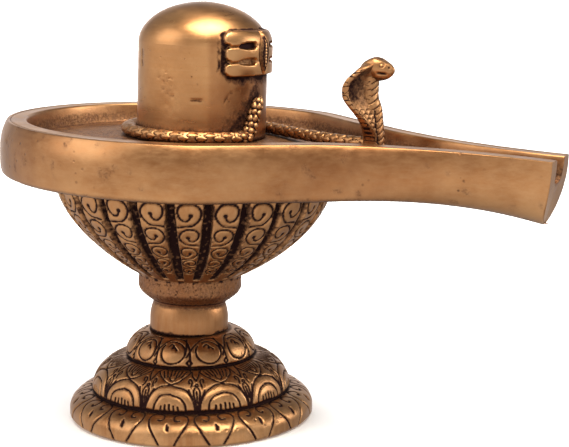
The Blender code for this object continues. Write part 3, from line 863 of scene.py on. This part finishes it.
# Yoni basin
basin = {
    "plateZ": 101.9,
    "height": 21.7,
    "radius": 76.3,
    "bulge": 2.8,
    "edgeRound": 1.0,
    "land": 8.0,
    "depth": 7.8,
    "channelDepth": 9.8,
    "floorRise": 2.2,
    "shoulderDeg": 69.0,
    "neckPull": 22.2,
    "length": 151.8,
    "halfW": 14.0,
    "flare": 4.8,
    "pull": 74.0,
    "drop": 2.4,
    "keel": 4.0,
    "neckThin": 1.2,
    "endLean": 4.6,
    "grooveIn": 1.35,
    "grooveDeep": 0.30,
}


def spoutShare(x):
    start = 0.92 * basin["radius"]
    return smoothStep((x - start) / (basin["length"] - start))


def spoutRun(x):
    start = 0.9 * basin["radius"]
    return np.maximum(0.0, (x - start) / (basin["length"] - start))


def sinkTo(x):
    # Depth of the floor under the rim
    return basin["depth"] + (basin["channelDepth"] - basin["depth"]) * spoutShare(x)


def keelDepth(x):
    # How far the underside hangs below the rim
    run = np.minimum(spoutRun(x), 1.0)
    return basin["height"] + basin["keel"] * run ** 2 - basin["neckThin"] * np.sin(math.pi * run ** 0.8)


def leanBack(x, deep):
    # The end face leans back below its top edge
    return basin["endLean"] * deep ** 2 * grow(x - basin["length"], -30.0, 30.0)


def flankPoints(count):
    # From the spout's corner along its flank and round the circle to the back, at y above zero
    b = math.radians(basin["shoulderDeg"])
    radius = basin["radius"]
    arc = [(radius * math.cos(a), radius * math.sin(a)) for a in np.linspace(math.pi, b, 200)]
    p0 = np.array(arc[-1])
    p1 = p0 + basin["neckPull"] * np.array((math.sin(b), -math.cos(b)))
    p2 = np.array((basin["length"] - basin["pull"], basin["halfW"] - basin["flare"]))
    p3 = np.array((basin["length"], basin["halfW"]))
    curve = [bezier(p0, p1, p2, p3, t) for t in np.linspace(0, 1, 160)[1:]]
    x, y, share = resampled((arc + curve)[::-1], count)
    dx, dy = np.gradient(x), np.gradient(y)
    size = np.hypot(dx, dy)
    nx, ny = dy / size, -dx / size
    nx[-1], ny[-1] = -1.0, 0.0
    nx[0], ny[0] = 0.0, 1.0
    return x, y, nx, ny


def makeBasin():
    top = basin["plateZ"] + basin["height"]
    x, y, nx, ny = flankPoints(330)
    share = spoutShare(x)
    tall = keelDepth(x)
    inX, inY = x - nx * basin["land"], np.maximum(y - ny * basin["land"], 0.0)
    inX[0] = basin["length"]
    # Every column runs to its own point of the middle line
    midX = basin["length"] * np.clip((x - 40.0) / (basin["length"] - 40.0), 0.0, 1.0)
    rows = []

    def addRow(px, py, pz, recess, grain):
        rows.append([np.broadcast_to(part, px.shape) for part in (px, py, pz, recess, grain)])

    floorRows = 26
    for k in range(floorRows):
        s = (k / (floorRows - 1)) ** 0.85
        edgeX, edgeY = inX - nx * 2.2 * (1 - 0.2 * share), inY - ny * 2.2 * (1 - 0.2 * share)
        edgeX[0] = basin["length"]
        px = midX + (edgeX - midX) * s
        py = np.maximum(edgeY, 0.0) * s
        # The floor is higher round the lingam and hollow along the spout
        rise = basin["floorRise"] * fade(np.hypot(px, py), 30.0, 34.0) * (1.0 - spoutShare(px + 12.0))
        curve = 1.2 * share * (1.0 - np.cos(s * math.pi / 2)) * 0.8
        deep = sinkTo(px) - rise - curve
        addRow(px - leanBack(px, deep / 22.0), py, top - deep, 0.12 + 0.45 * grow(s, 0.93, 0.07), 0.85)
    # How far outwards and how deep: the hollow's wall, then the land, the band outside and the underside
    wall = [(-2.2, 1.0), (-1.2, 0.94), (-0.65, 0.72), (-0.25, 0.40), (0.05, 0.16), (0.35, 0.045), (0.9, 0.0)]
    wall = curveThrough(wall, 2)[1:]
    for out, deep in wall:
        off = out * (1 - 0.2 * share)
        px = inX + nx * off
        px[0] = basin["length"]
        py = inY + ny * off
        full = sinkTo(px) - share * max(0.0, deep)
        dark = 0.42 * grow(deep, 0.15, 0.5)
        grain = 0.12 + 0.6 * smoothStep(deep)
        addRow(px - leanBack(px, deep * full / 22.0), py, top - full * deep, dark, grain)
    innerCount = len(rows)
    start = rows[-1]
    landSteps = (6.4, 5.6, 4.6, 3.6, 2.7, 2.05, 1.75, 1.5, 1.35, 1.2, 1.0, 0.75, 0.5)
    outX, outY = x - nx * 0.5 * basin["edgeRound"], y - ny * 0.5 * basin["edgeRound"]
    outX[0] = basin["length"]
    for left in landSteps:
        w = 1.0 - (left - 0.5) / (basin["land"] - 0.9 - 0.5)
        cutIn = math.exp(-((left - basin["grooveIn"]) / 0.22) ** 2)
        px = start[0] + (outX - start[0]) * w
        py = start[1] + (outY - start[1]) * w
        addRow(px, py, top - basin["grooveDeep"] * cutIn - 0.06 * math.sin(w * 40), 0.75 * cutIn, 0.10)
    landCount = len(landSteps)
    b = basin["bulge"]
    band = [(-0.5, 0.0), (-0.08, 0.004), (0.22, 0.02), (0.32 * b, 0.08), (0.66 * b, 0.20), (0.90 * b, 0.34),
            (b, 0.50), (b, 0.66), (0.95 * b, 0.82), (0.75 * b, 0.95), (0.1 * b, 1.0)]
    band = curveThrough(band, 3)[1:]
    for out, deep in band:
        deep = min(max(deep, 0.0), 1.0)
        off = out * (1 - 0.8 * share)
        keel = (1 - share) + share * max(0.12, math.sqrt(max(0.0, 1.0 - deep ** 2.2)))
        px = x + nx * off
        py = (y + ny * off) * keel
        px = px - leanBack(x, deep)
        line = 0.85 * grow(deep, 0.975, 0.02)
        addRow(px, py, top - tall * deep, line, 0.04 + 0.5 * grow(deep, 0.9, 0.1))
    last = rows[-1]
    underRows = 14
    for k in range(1, underRows + 1):
        s = 1.0 - k / underRows
        px = midX + (last[0] - midX) * s
        px[0] = last[0][0]
        addRow(px, last[1] * s, top - tall * s - keelDepth(px) * (1 - s), 0.25, 0.7)
    outerStart = innerCount + landCount
    outerCount = len(rows) - outerStart

    # Columns: one side, the other side mirrored, then the end face between the two corners
    side = np.array(rows, dtype=float)
    other = side[:, :, ::-1].copy()
    other[:, 1, :] *= -1.0
    corner = side[:, :, 0]
    half = max(innerCount, outerCount)
    ends = []
    for k in range(1, 2 * half):
        t = k / half if k <= half else 2.0 - k / half
        a = int(round((innerCount - 1) * (1.0 - t)))
        c = int(round((outerCount - 1) * t))
        inner, outer = corner[a], corner[outerStart - 1 + c]
        column = np.empty((len(rows), 5))
        for j in range(innerCount):
            column[j] = corner[min(j, a)]
        for j in range(landCount):
            w = (j + 1) / landCount
            column[innerCount + j] = inner + (outer - inner) * w
            column[innerCount + j, 3:] = (0.0, 0.15)
        for j in range(outerCount):
            column[outerStart + j] = corner[outerStart + max(j, c - 1)]
        column[:, 1] *= -1.0 if k <= half else 1.0
        ends.append(column)
    full = np.concatenate([side, other[:, :, 1:], np.stack(ends, axis=2)], axis=2)
    columns = full.shape[2]
    mesh, u, v = wrappedMesh("yoni_basin", columns, len(rows) - 1)
    i = np.round(u * columns).astype(int) % columns
    j = np.round(v * (len(rows) - 1)).astype(int)
    px, py, pz, recess, grain = (full[j, part, i] for part in range(5))
    pz = pz - basin["drop"] * spoutRun(px)
    wave = noiseAt(px, py, pz, 16.0, 11.0)
    onBand = (j >= outerStart) & (j < outerStart + len(band))
    pz = pz - 0.10 * (1.0 + wave) * (j >= innerCount) * (j < outerStart)
    floorPart = j < floorRows
    pz = pz + 0.16 * noiseAt(px, py, pz, 3.0, 12.0) * floorPart
    # Dark streaks that the casting left on the band
    streak = grow(noiseAt(px, py, pz, 5.0, 13.0), 0.38, 0.2) * onBand
    recess = np.clip(recess * (1.0 + 0.35 * wave) + 0.28 * streak, 0, 1)
    # Painted shade on the floor right beside the snake
    recess = np.maximum(recess, 0.8 * nearCobra(px, py, pz, 2.6) * floorPart)
    writePoints(mesh, *leaned(px, py, pz))
    addValues(mesh, "recess", recess)
    addValues(mesh, "grain", np.clip(grain + 0.2 * streak, 0, 1))
    # The hollow has gone brown. The band is browned as painted shade at its left, beside the neck and along
    # the spout, over a light mottled patina
    hollow = smoothStep((innerCount - 2.0 - j) / 3.0)
    neck = bell(px - 66.0, 34.0)
    leftSide = bell(np.degrees(np.arctan2(py, px)) + 113.0, 22.0)
    alongSpout = grow(px, 62.0, 12.0) * fade(px, 118.0, 12.0)
    bandPatinaAndShade = 0.10 + 0.10 * wave + 0.26 * neck + 0.24 * leftSide + 0.14 * alongSpout
    addValues(mesh, "patina_and_shade", 0.28 * hollow + onBand * bandPatinaAndShade)
    return placed("yoni_basin", cleaned(mesh), basinBrass, "yoni_basin")


makeBasin()
print("basin and spout are made")


# Lingam
lingam = {
    "radius": 26.4,
    "topZ": 172.55,
    "domeH": 16.8,
    "shift": 2.6,
    "footZ": 118.3,
    "markDrop": 19.1,
    "markTurn": -5.3,
    "markWidth": 38.2,
    "markHigh": 17.6,
    "bandPitch": 6.2,
    "slotH": 2.6,
    "slotW": 8.4,
    "slotMid": 9.0,
    "notch": 2.8,
    "raise": 2.0,
    "eyeH": 16.0,
    "eyeW": 5.0,
    "steps": 430,
}

# Marks of wear, in millimetres: round the lingam to the right of the middle as seen, then height
wear = {
    "pits": (-15.0, 139.0),
    "slot": (-2.6, 135.0, 2.4, 0.28),
    "crack": [[(8.6, 134.2), (9.6, 136.2), (10.8, 137.6), (12.6, 138.4), (15.5, 138.9)],
              [(9.6, 136.2), (11.0, 134.6)]],
    "ticks": [[(-31.3, 152.8), (-31.0, 150.6)], [(-31.2, 148.6), (-31.0, 147.4)]],
    "depth": 0.30,
}


def lingamRadius(z):
    t = np.clip((z - lingam["topZ"] + lingam["domeH"]) / lingam["domeH"], 0.0, 1.0)
    return lingam["radius"] * np.sqrt(np.maximum(0.0, 1.0 - t ** 2)) ** 1.04


def softBox(a, b, halfA, halfB, corner, soft):
    # 1 inside a rounded rectangle, falling to 0 over a soft edge
    qa = np.abs(a) - halfA + corner
    qb = np.abs(b) - halfB + corner
    dist = np.hypot(np.maximum(qa, 0), np.maximum(qb, 0)) + np.minimum(np.maximum(qa, qb), 0) - corner
    return 1.0 - smoothStep(dist / soft + 0.5)


def markRelief(a, b, wave):
    # Three bands that touch, slots between them, notched ends and an upright eye
    pitch, half = lingam["bandPitch"], lingam["bandPitch"] / 2
    wide, high = lingam["markWidth"] / 2, lingam["markHigh"] / 2
    # The bands' ends are rounded, and the outer two are set back a little
    bands = np.zeros_like(a)
    for row, back in ((-1, 0.3), (0, 0.5), (1, 0.0)):
        bands = np.maximum(bands, softBox(a, b - row * pitch, wide - back, half + 0.3, 2.9, 0.7))
    bands = bands * softBox(a, b, wide + 1.0, high, 4.5, 0.7)
    groove = np.zeros_like(a)
    slotDark = np.zeros_like(a)
    for row, deep in ((0.5, 1.0), (-0.5, 0.55)):
        line = bell(b - row * pitch + 0.04 * (np.abs(a) - 9.0), 0.42)
        line = line * (np.abs(a) > 12.0) * (np.abs(a) < wide)
        groove = np.maximum(groove, 0.5 * line)
        slotDark = np.maximum(slotDark, 0.6 * line)
        for side in (-1, 1):
            # A slot with rounded ends, pointed towards the band's end
            taper = 1.0 - 0.35 * smoothStep((side * a - lingam["slotMid"]) / (lingam["slotW"] / 2))
            slot = softBox(a - side * lingam["slotMid"], (b - row * pitch) / taper, lingam["slotW"] / 2,
                           lingam["slotH"] / 2, 1.2, 0.6)
            past = side * a - wide
            notch = grow(past + lingam["notch"], 0.0, 1.2)
            notch = notch * fade(np.abs(b - row * pitch) - 0.30 - 0.30 * (past + 2.6), 0.0, 0.5)
            groove = highest(groove, slot, notch)
            slotDark = highest(slotDark, slot * deep, notch)
    crown = np.zeros_like(a)
    for row in (-1, 0, 1):
        crown = np.maximum(crown, np.sqrt(np.clip(1 - ((b - row * pitch) / (half + 0.3)) ** 2, 0, 1)))
    t = np.clip(np.abs(b) / (lingam["eyeH"] / 2), 0, 1)
    lens = lingam["eyeW"] / 2 * (1.0 - t ** 1.7)
    eyeDist = np.abs(a) - lens
    inEye = (1.0 - smoothStep(eyeDist / 0.5 + 0.5)) * (np.abs(b) < lingam["eyeH"] / 2 + 0.2)
    ringDark = bell(eyeDist - 0.55, 0.38) * (np.abs(b) < lingam["eyeH"] / 2 + 0.8)
    inner = bell(eyeDist + 0.95, 0.26) * inEye
    beads = np.zeros_like(a)
    for row in np.arange(-5.0, 5.1, 1.25):
        beads = np.maximum(beads, bell(np.hypot(a - 0.2 + 0.3 * wave, b - row), 0.50))
    height = bands * (1.0 - groove) * (0.78 + 0.22 * crown)
    height = height * (1.0 - 0.6 * ringDark)
    lift = lingam["raise"] * height
    lift = np.maximum(lift, (lingam["raise"] + 0.7) * inEye) - 0.45 * inner + 0.30 * beads * inEye
    # A rough strip is left round the pad: a line above it, wider at its ends, soft below
    ends = np.abs(a) - wide
    above = b - high
    below = -b - high
    outside = np.maximum(2.2 * above, below)
    rounded = np.hypot(np.clip(ends + 4.5, 0, None), np.clip(outside + 4.5, 0, None)) - 4.5
    strip = fade(rounded - 1.1 - 0.9 * wave, 0.0, 1.3)
    softer = np.hypot(np.clip(ends + 3.5, 0, None), np.clip(below / 1.9 + 3.5, 0, None)) - 3.5
    under = 0.6 * fade(softer - 0.9 - 0.8 * wave, 0.0, 1.6) * (b < 0)
    halo = np.maximum(strip * (0.85 + 0.3 * wave), under)
    between = 0.7 * inEye * fade(beads, 0.15, 0.4) * (t < 0.9)
    dark = np.clip(slotDark * bands + 1.2 * ringDark * bands + 0.9 * inner + between, 0, 1)
    dark = np.maximum(dark, np.clip(halo, 0, 0.9) * (1.0 - bands))
    # A thin ledge runs down the strip's end
    ragged = ends + 0.7 * wave
    ledge = bell(ragged - 1.5, 0.30) * fade(np.abs(b + 1.0) - high, -2.5, 1.5)
    lift = lift + 0.22 * ledge - 0.15 * halo * (1.0 - bands)
    outer = bell(ragged - 2.3, 0.65) * fade(np.abs(b + 0.6) - high, -3.0, 3.0)
    dark = np.maximum(dark, (0.55 + 0.35 * wave) * outer) * (1.0 - 0.7 * ledge)
    return lift, dark, halo * (1.0 - bands), bands


def makeLingam():
    markZ = lingam["topZ"] - lingam["markDrop"]
    low = np.concatenate([np.linspace(lingam["footZ"], markZ - 11.5, 30, endpoint=False),
                          np.arange(markZ - 11.5, markZ + 3.0, 0.24)])
    rows = [(0.0, lingam["footZ"], 0.0), (12.0, lingam["footZ"], 0.0)]
    rows += [(lingam["radius"], z, 1.0) for z in low]
    domeZ = lingam["topZ"] - lingam["domeH"] * (1.0 - np.sin(np.linspace(0.015, math.pi / 2, 420)))
    r, z, share = resampled(list(zip(lingamRadius(domeZ), domeZ)), 76)
    rows += [(a, b, 1.0) for a, b in zip(r, z) if b > low[-1] + 0.1]
    rows[-1] = (0.0, lingam["topZ"], 1.0)
    mesh, r, angle, z, along = turnedMesh("lingam", rows, lingam["steps"])
    # Columns crowd together where the mark is
    angle = angle - 0.62 * np.sin(angle)
    arc = angle * lingam["radius"]
    angle = angle + math.radians(lingam["markTurn"])
    x0, y0 = r * np.cos(angle), r * np.sin(angle)
    wave = noiseAt(x0, y0, z, 11.0, 21.0)
    fine = noiseAt(x0, y0, z, 2.6, 22.0)
    relief = markRelief(arc, z - markZ + 0.25 * wave, fine)
    lift, dark, halo, bands = [part * (along > 0.5) for part in relief]
    radial = r + np.where(r > 1.0, lift - 0.06 * (1.0 + wave), 0.0)
    # A cluster of casting pits, a slot and a crack, towards the camera
    view = np.degrees(angle) - viewAngle
    across = (view + 180.0) % 360.0 - 180.0
    acrossMm = np.radians(across) * lingam["radius"]
    pitNoise = grow(noiseAt(x0, y0, z, 1.5, 23.0), 0.22, 0.22)
    pitX, pitZ = wear["pits"]
    cluster = np.exp(-((acrossMm - pitX + 0.4 * (z - pitZ)) / 4.2) ** 2 - ((z - pitZ) / 8.0) ** 2)
    pits = 0.45 * pitNoise * np.clip(cluster * 1.5, 0, 1)
    slotX, slotZ, slotWide, slotHigh = wear["slot"]
    dent = softBox(acrossMm - slotX, z - slotZ, slotWide, slotHigh, 0.25, 0.45)
    crack = 0.8 * inked(acrossMm, z, wear["crack"], 0.55) * (0.7 + 0.5 * fine)
    ticks = 0.6 * inked(acrossMm, z, wear["ticks"], 2.0)
    marks = np.clip(highest(pits, dent, crack, ticks), 0, 1)
    radial = radial - wear["depth"] * marks
    footDark = 0.75 * fade(z - lingam["footZ"] - 1.2 - 0.8 * wave, 0.0, 1.6)
    # Painted shade on the lingam where the snake lies against it
    snakeShade = nearCobra(r * np.cos(angle) + lingam["shift"], y0, z, 3.6 + 1.5 * wave)
    # Painted shade: the side to the right as seen is browned darker, and the metal above the snake is browner
    # too
    edgeAt = acrossMm + 0.6 * wave
    shadeAndBrown = 0.42 * grow(edgeAt, 0.4, 3.0) + 0.20 * grow(edgeAt, 2.0, 14.0)
    shadeAndBrown = shadeAndBrown * fade(z, 157.0, 8.0)
    shadeAndBrown = np.maximum(shadeAndBrown, 0.12 * fade(z - 127.0 - 3.0 * wave, 0.0, 6.0))
    shadeAndBrown = shadeAndBrown * (1.0 - 0.92 * bands)
    recess = np.clip(highest(dark, 0.8 * marks, footDark, 0.9 * snakeShade), 0, 1)
    # Dark grainy metal to the left of the tail
    zoneHalf = 2.2 + 0.42 * np.clip(141.0 - z, 0.0, 14.0)
    tailSide = bell(acrossMm - 17.0 - 0.60 * (z - 127.5) + 0.8 * fine, zoneHalf)
    tailSide = tailSide * fade(z, 140.0, 4.0)
    recess = np.maximum(recess, 0.72 * tailSide * (0.85 + 0.45 * fine))
    grain = 0.06 + 0.8 * halo * (dark > 0.3) + 0.5 * footDark + 0.15 * cluster + 0.5 * snakeShade + 0.7 * tailSide
    grain = np.clip(grain, 0, 1)
    writePoints(mesh, *leaned(radial * np.cos(angle) + lingam["shift"], radial * np.sin(angle), z))
    addValues(mesh, "recess", recess)
    addValues(mesh, "grain", grain)
    addValues(mesh, "patina_and_shade", shadeAndBrown)
    return placed("lingam", cleaned(mesh), lingamBrass, "lingam")


makeLingam()
print("lingam and its mark are made")


# Cobra
def scalePattern(along, across):
    # Overlapping round scales; both numbers are counted in scales. Returns the height and the dark line
    height = np.ones_like(along)
    for k in (0.0, 0.5):
        p, q = along - k, across - k
        q = q - np.round(q)
        tip = 0.5 * np.sqrt(np.clip(1.0 - 4.0 * q * q, 0.0, 1.0))
        past = (p - tip) - np.floor(p - tip)
        height = np.minimum(height, past)
    edge = smoothStep(height / 0.16)
    return 0.35 * smoothStep(height / 0.5) + 0.65 * edge, 1.0 - edge


def hoodHalfWidth(t):
    rise = grow(t, 0.05, 0.60)
    fall = 1.0 - 0.72 * np.clip((t - 0.69) / 0.31, 0.0, 1.0) ** 2
    return cobra["neckR"] + (cobra["hoodHalfW"] - cobra["neckR"]) * rise * fall


def hoodMid(t):
    return cobra["hoodX"] - 3.0 * smoothStep(t / 0.6) + 1.6 * grow(t, 0.78, 0.22)


def coilMesh():
    count, sides = 640, 44
    px, py, pz, size, gone = coilPath(count + 1)
    ahead = np.stack([np.gradient(px), np.gradient(py), np.gradient(pz)], axis=1)
    ahead /= np.linalg.norm(ahead, axis=1)[:, None]
    side = np.cross(ahead, (0.0, 0.0, 1.0))
    side /= np.linalg.norm(side, axis=1)[:, None]
    up = np.cross(side, ahead)
    mesh, u, v = wrappedMesh("coil", sides, count)
    i = np.round(v * count).astype(int)
    angle = 2.0 * math.pi * u
    height, dark = scalePattern(gone[i] / cobra["scaleLength"], angle / (2.0 * math.pi) * 5.0)
    # The tail on the lingam is beaded instead
    onTail = fade(gone[i], 21.0, 4.0)
    jitter = noiseAt(px[i] + 3.0 * np.cos(angle), py[i] + 3.0 * np.sin(angle), pz[i], 2.2, 31.0)
    beadRow = gone[i] / 2.6 + 0.30 * jitter
    beadTurn = angle / (2.0 * math.pi) * 5.0 + 0.5 * np.mod(np.round(beadRow), 2) + 0.25 * jitter
    away = np.hypot(beadRow - np.round(beadRow), beadTurn - np.round(beadTurn)) / 0.5
    bead = np.sqrt(np.clip(1.0 - away ** 2, 0.0, 1.0))
    height = height * (1.0 - onTail) + bead * onTail
    dark = dark * (1.0 - onTail) + grow(away, 0.72, 0.3) * onTail
    # The tip closes to a point and the far end sinks into the neck
    taper = np.clip(gone[i] / 4.0, 0.0, 1.0) ** 0.5
    taper = np.where((i == 0) | (i == count), 0.0, taper)
    r = (size[i] + 0.6 * onTail - cobra["scaleDepth"] * (1.0 - height) * (1.0 + 0.5 * onTail)) * taper
    sideways, upwards = r * cobra["bodyFlat"] * np.cos(angle), r * np.sin(angle)
    spot = np.stack([px, py, pz], axis=1)[i] + side[i] * sideways[:, None] + up[i] * upwards[:, None]
    # Painted shade: the underside of the body is darkened, and made grainy
    low = fade(np.sin(angle), -0.55, 0.5)
    addValues(mesh, "recess", np.clip(0.85 * dark + 0.45 * low, 0, 1))
    addValues(mesh, "grain", np.clip(0.15 + 0.5 * low, 0, 1))
    writePoints(mesh, *leaned(spot[:, 0], spot[:, 1], spot[:, 2]))
    return mesh


def hoodMesh():
    across, levels = 200, 150
    mesh, u, v = wrappedMesh("hood", across, levels)
    angle = 2.0 * math.pi * u
    v = np.clip(v, 0.0, 1.0)
    w = hoodHalfWidth(v)
    flat = np.clip((w - cobra["neckR"]) / (cobra["hoodHalfW"] - cobra["neckR"]), 0.0, 1.0)
    closing = np.sqrt(1.0 - np.clip((v - 0.92) / 0.08, 0.0, 1.0) ** 2)
    thick = (cobra["neckR"] + (cobra["hoodThick"] * 0.5 - cobra["neckR"]) * flat) * closing
    w = w * closing
    s, c = np.sin(angle), np.cos(angle)
    y = w * np.sign(s) * np.abs(s) ** 1.15
    front = c > 0
    ridge = cobra["hoodRidge"] * (1.0 - 0.55 * grow(v, 0.42, 0.2)) * closing
    ridge = ridge * flat * np.maximum(0.0, 1.0 - (y / 4.4) ** 2) * front
    swept = cobra["hoodSweep"] * flat * (y / cobra["hoodHalfW"]) ** 2
    # A dish in front between the belly and the thick rim
    fromRim = w - np.abs(y)
    inDish = grow(np.abs(y), 3.6, 2.2) * grow(fromRim, cobra["rimWidth"] * 0.55, 1.0)
    high = grow(v, 0.42, 0.16) * (1.0 - 0.5 * grow(v, 0.95, 0.05))
    dish = cobra["dish"] * inDish * high * front * flat
    # Belly plates, one groove down each side of them, and crossed scales low on the wings
    up = v * cobra["hoodH"]
    grit = noiseAt(y, hoodMid(v), up, 2.4, 33.0)
    plate = (up + 0.60 * np.abs(y) + 0.25 * grit) / cobra["plateHigh"]
    plateLine = bell(plate - np.round(plate), 0.13)
    belly = front * fade(np.abs(y), 3.5, 0.6) * fade(v, 0.86, 0.08)
    bellyEdge = bell(np.abs(y) - 4.0 + 0.12 * np.abs(up - 8.0), 0.42) * front
    bellyEdge = bellyEdge * fade(v, 0.42, 0.08)
    height, dark = scalePattern(up / 3.6 + 0.15, (y - 0.25 * up) / 3.0 + 0.25)
    wing = (1.0 - belly) * (1.0 - 0.85 * high * front * inDish) * fade(v, 0.90, 0.06)
    notch = bell((up / 4.4) - np.round(up / 4.4), 0.05) * (fromRim < cobra["rimWidth"]) * front
    depth = 0.50 * plateLine * belly + 0.55 * bellyEdge
    depth = depth + 0.75 * (1.0 - height) * wing * (1 - front * (fromRim < 1.2)) + 0.15 * notch
    x = hoodMid(v) + (thick - depth * 0.5) * np.sign(c) * np.abs(c) ** 0.6 + ridge - swept + 0.6 * flat
    x = x - dish - depth * 0.5 * front
    dishDark = (0.46 + 0.22 * grow(np.abs(y), 5.0, 6.0) + 0.2 * grit) * inDish * high * front
    recess = highest(0.8 * plateLine * belly, 0.95 * bellyEdge, 0.95 * dark ** 0.5 * wing,
                     dishDark * grow(flat, 0.2, 0.3), 0.4 * notch)
    z = cobra["floorZ"] + 0.3 * cobra["bodyR"] + cobra["hoodH"] * v
    ends = (v < 1e-6) | (v > 1.0 - 1e-6)
    x = np.where(ends, hoodMid(v), x)
    y = np.where(ends, 0.0, y)
    addValues(mesh, "recess", np.clip(recess, 0, 1))
    addValues(mesh, "grain", np.clip(0.15 + 0.6 * recess, 0, 1))
    writePoints(mesh, *leaned(x, y, z))
    return mesh


# Where things lie on the side of the head: along it, and up from its middle
face = {
    "eye": (2.9, 0.5),
    "eyeR": 0.75,
    "nostril": (5.4, -0.4),
    "mouthZ": -2.75,
    "mouthFrom": 0.6,
    "mouthTo": 4.0,
}


def headMesh():
    across, levels = 96, 72
    mesh, u, v = wrappedMesh("head", across, levels)
    turn, lift = 2.0 * math.pi * u, math.pi * (v - 0.5)
    # The ball's poles lie left and right, so that rows run round the snout
    x, z, y = np.cos(lift) * np.cos(turn), np.cos(lift) * np.sin(turn), np.sin(lift)
    longSize, wide, tall = cobra["headSize"]
    snout = grow(x, -0.1, 1.1)
    halfW = wide / 2 * (1.0 - 0.42 * snout)
    halfH = tall / 2 * (1.0 - 0.20 * snout) * (1.0 + 0.30 * (z < 0) * np.abs(z))
    px = x * longSize / 2
    py = y * halfW
    pz = z * halfH - 1.5 * snout
    # The crown is flat
    pz = pz - np.clip(z - 0.62, 0, 1) * 2.6
    # The back of the head runs down into the hood
    nape = grow(-x, 0.1, 0.9)
    pz = pz - 1.7 * nape
    px = px - 0.9 * nape * (z < 0)
    py = py * (1.0 + 0.30 * nape)
    # Eyes, nostrils and the line of the mouth
    onSide = np.abs(y) > 0.25
    eye = np.hypot(px - face["eye"][0], pz - face["eye"][1]) / face["eyeR"]
    ring = bell(eye - 1.0, 0.30) * onSide
    ball = np.clip(1.0 - eye, 0, 1) * onSide
    nostril = bell(np.hypot(px - face["nostril"][0], pz - face["nostril"][1]), 0.55) * onSide
    mouthLine = bell(pz - face["mouthZ"] + 0.10 * (px - 3.0), 0.55) * grow(px, face["mouthFrom"], 1.4)
    mouth = 0.85 * mouthLine * onSide * fade(px, face["mouthTo"], 1.2)
    inward = 0.30 * ring - 0.25 * ball + 0.4 * nostril + 0.6 * mouth
    dark = highest(0.55 * ring, 0.9 * nostril, mouth)
    # Painted shade: the underside of the head is darkened
    under = fade(z, -0.85, 0.3)
    hoodMark = softBox(px + 1.8, py, 3.6, 2.9, 1.2, 0.8) * (z > 0)
    markInk = bell(np.hypot((px + 1.8) / 1.35, py) - 2.7, 0.55) * (z > 0)
    dark = highest(dark, 0.85 * markInk, 0.55 * hoodMark, 0.6 * under)
    inward += 0.25 * markInk
    size = np.sqrt(px ** 2 + py ** 2 + pz ** 2) + 1e-6
    shrink = 1.0 - inward / size
    px, py, pz = px * shrink, py * shrink, pz * shrink
    addValues(mesh, "recess", np.clip(dark, 0, 1))
    addValues(mesh, "grain", np.clip(0.10 + 0.4 * dark, 0, 1))
    baseX = float(hoodMid(np.array(1.0))) + 1.6
    baseZ = cobra["floorZ"] + cobra["hoodH"] - 1.1
    writePoints(mesh, *leaned(px + baseX, py, pz + baseZ))
    return mesh


def makeCobra():
    bm = bmesh.new()
    for part in (coilMesh(), hoodMesh(), headMesh()):
        cleaned(part)
        bm.from_mesh(part)
        bpy.data.meshes.remove(part)
    mesh = bpy.data.meshes.new("cobra")
    bm.to_mesh(mesh)
    bm.free()
    mesh.shade_smooth()
    return placed("cobra", mesh, cobraBrass, "cobra")


makeCobra()
print("cobra is coiled")
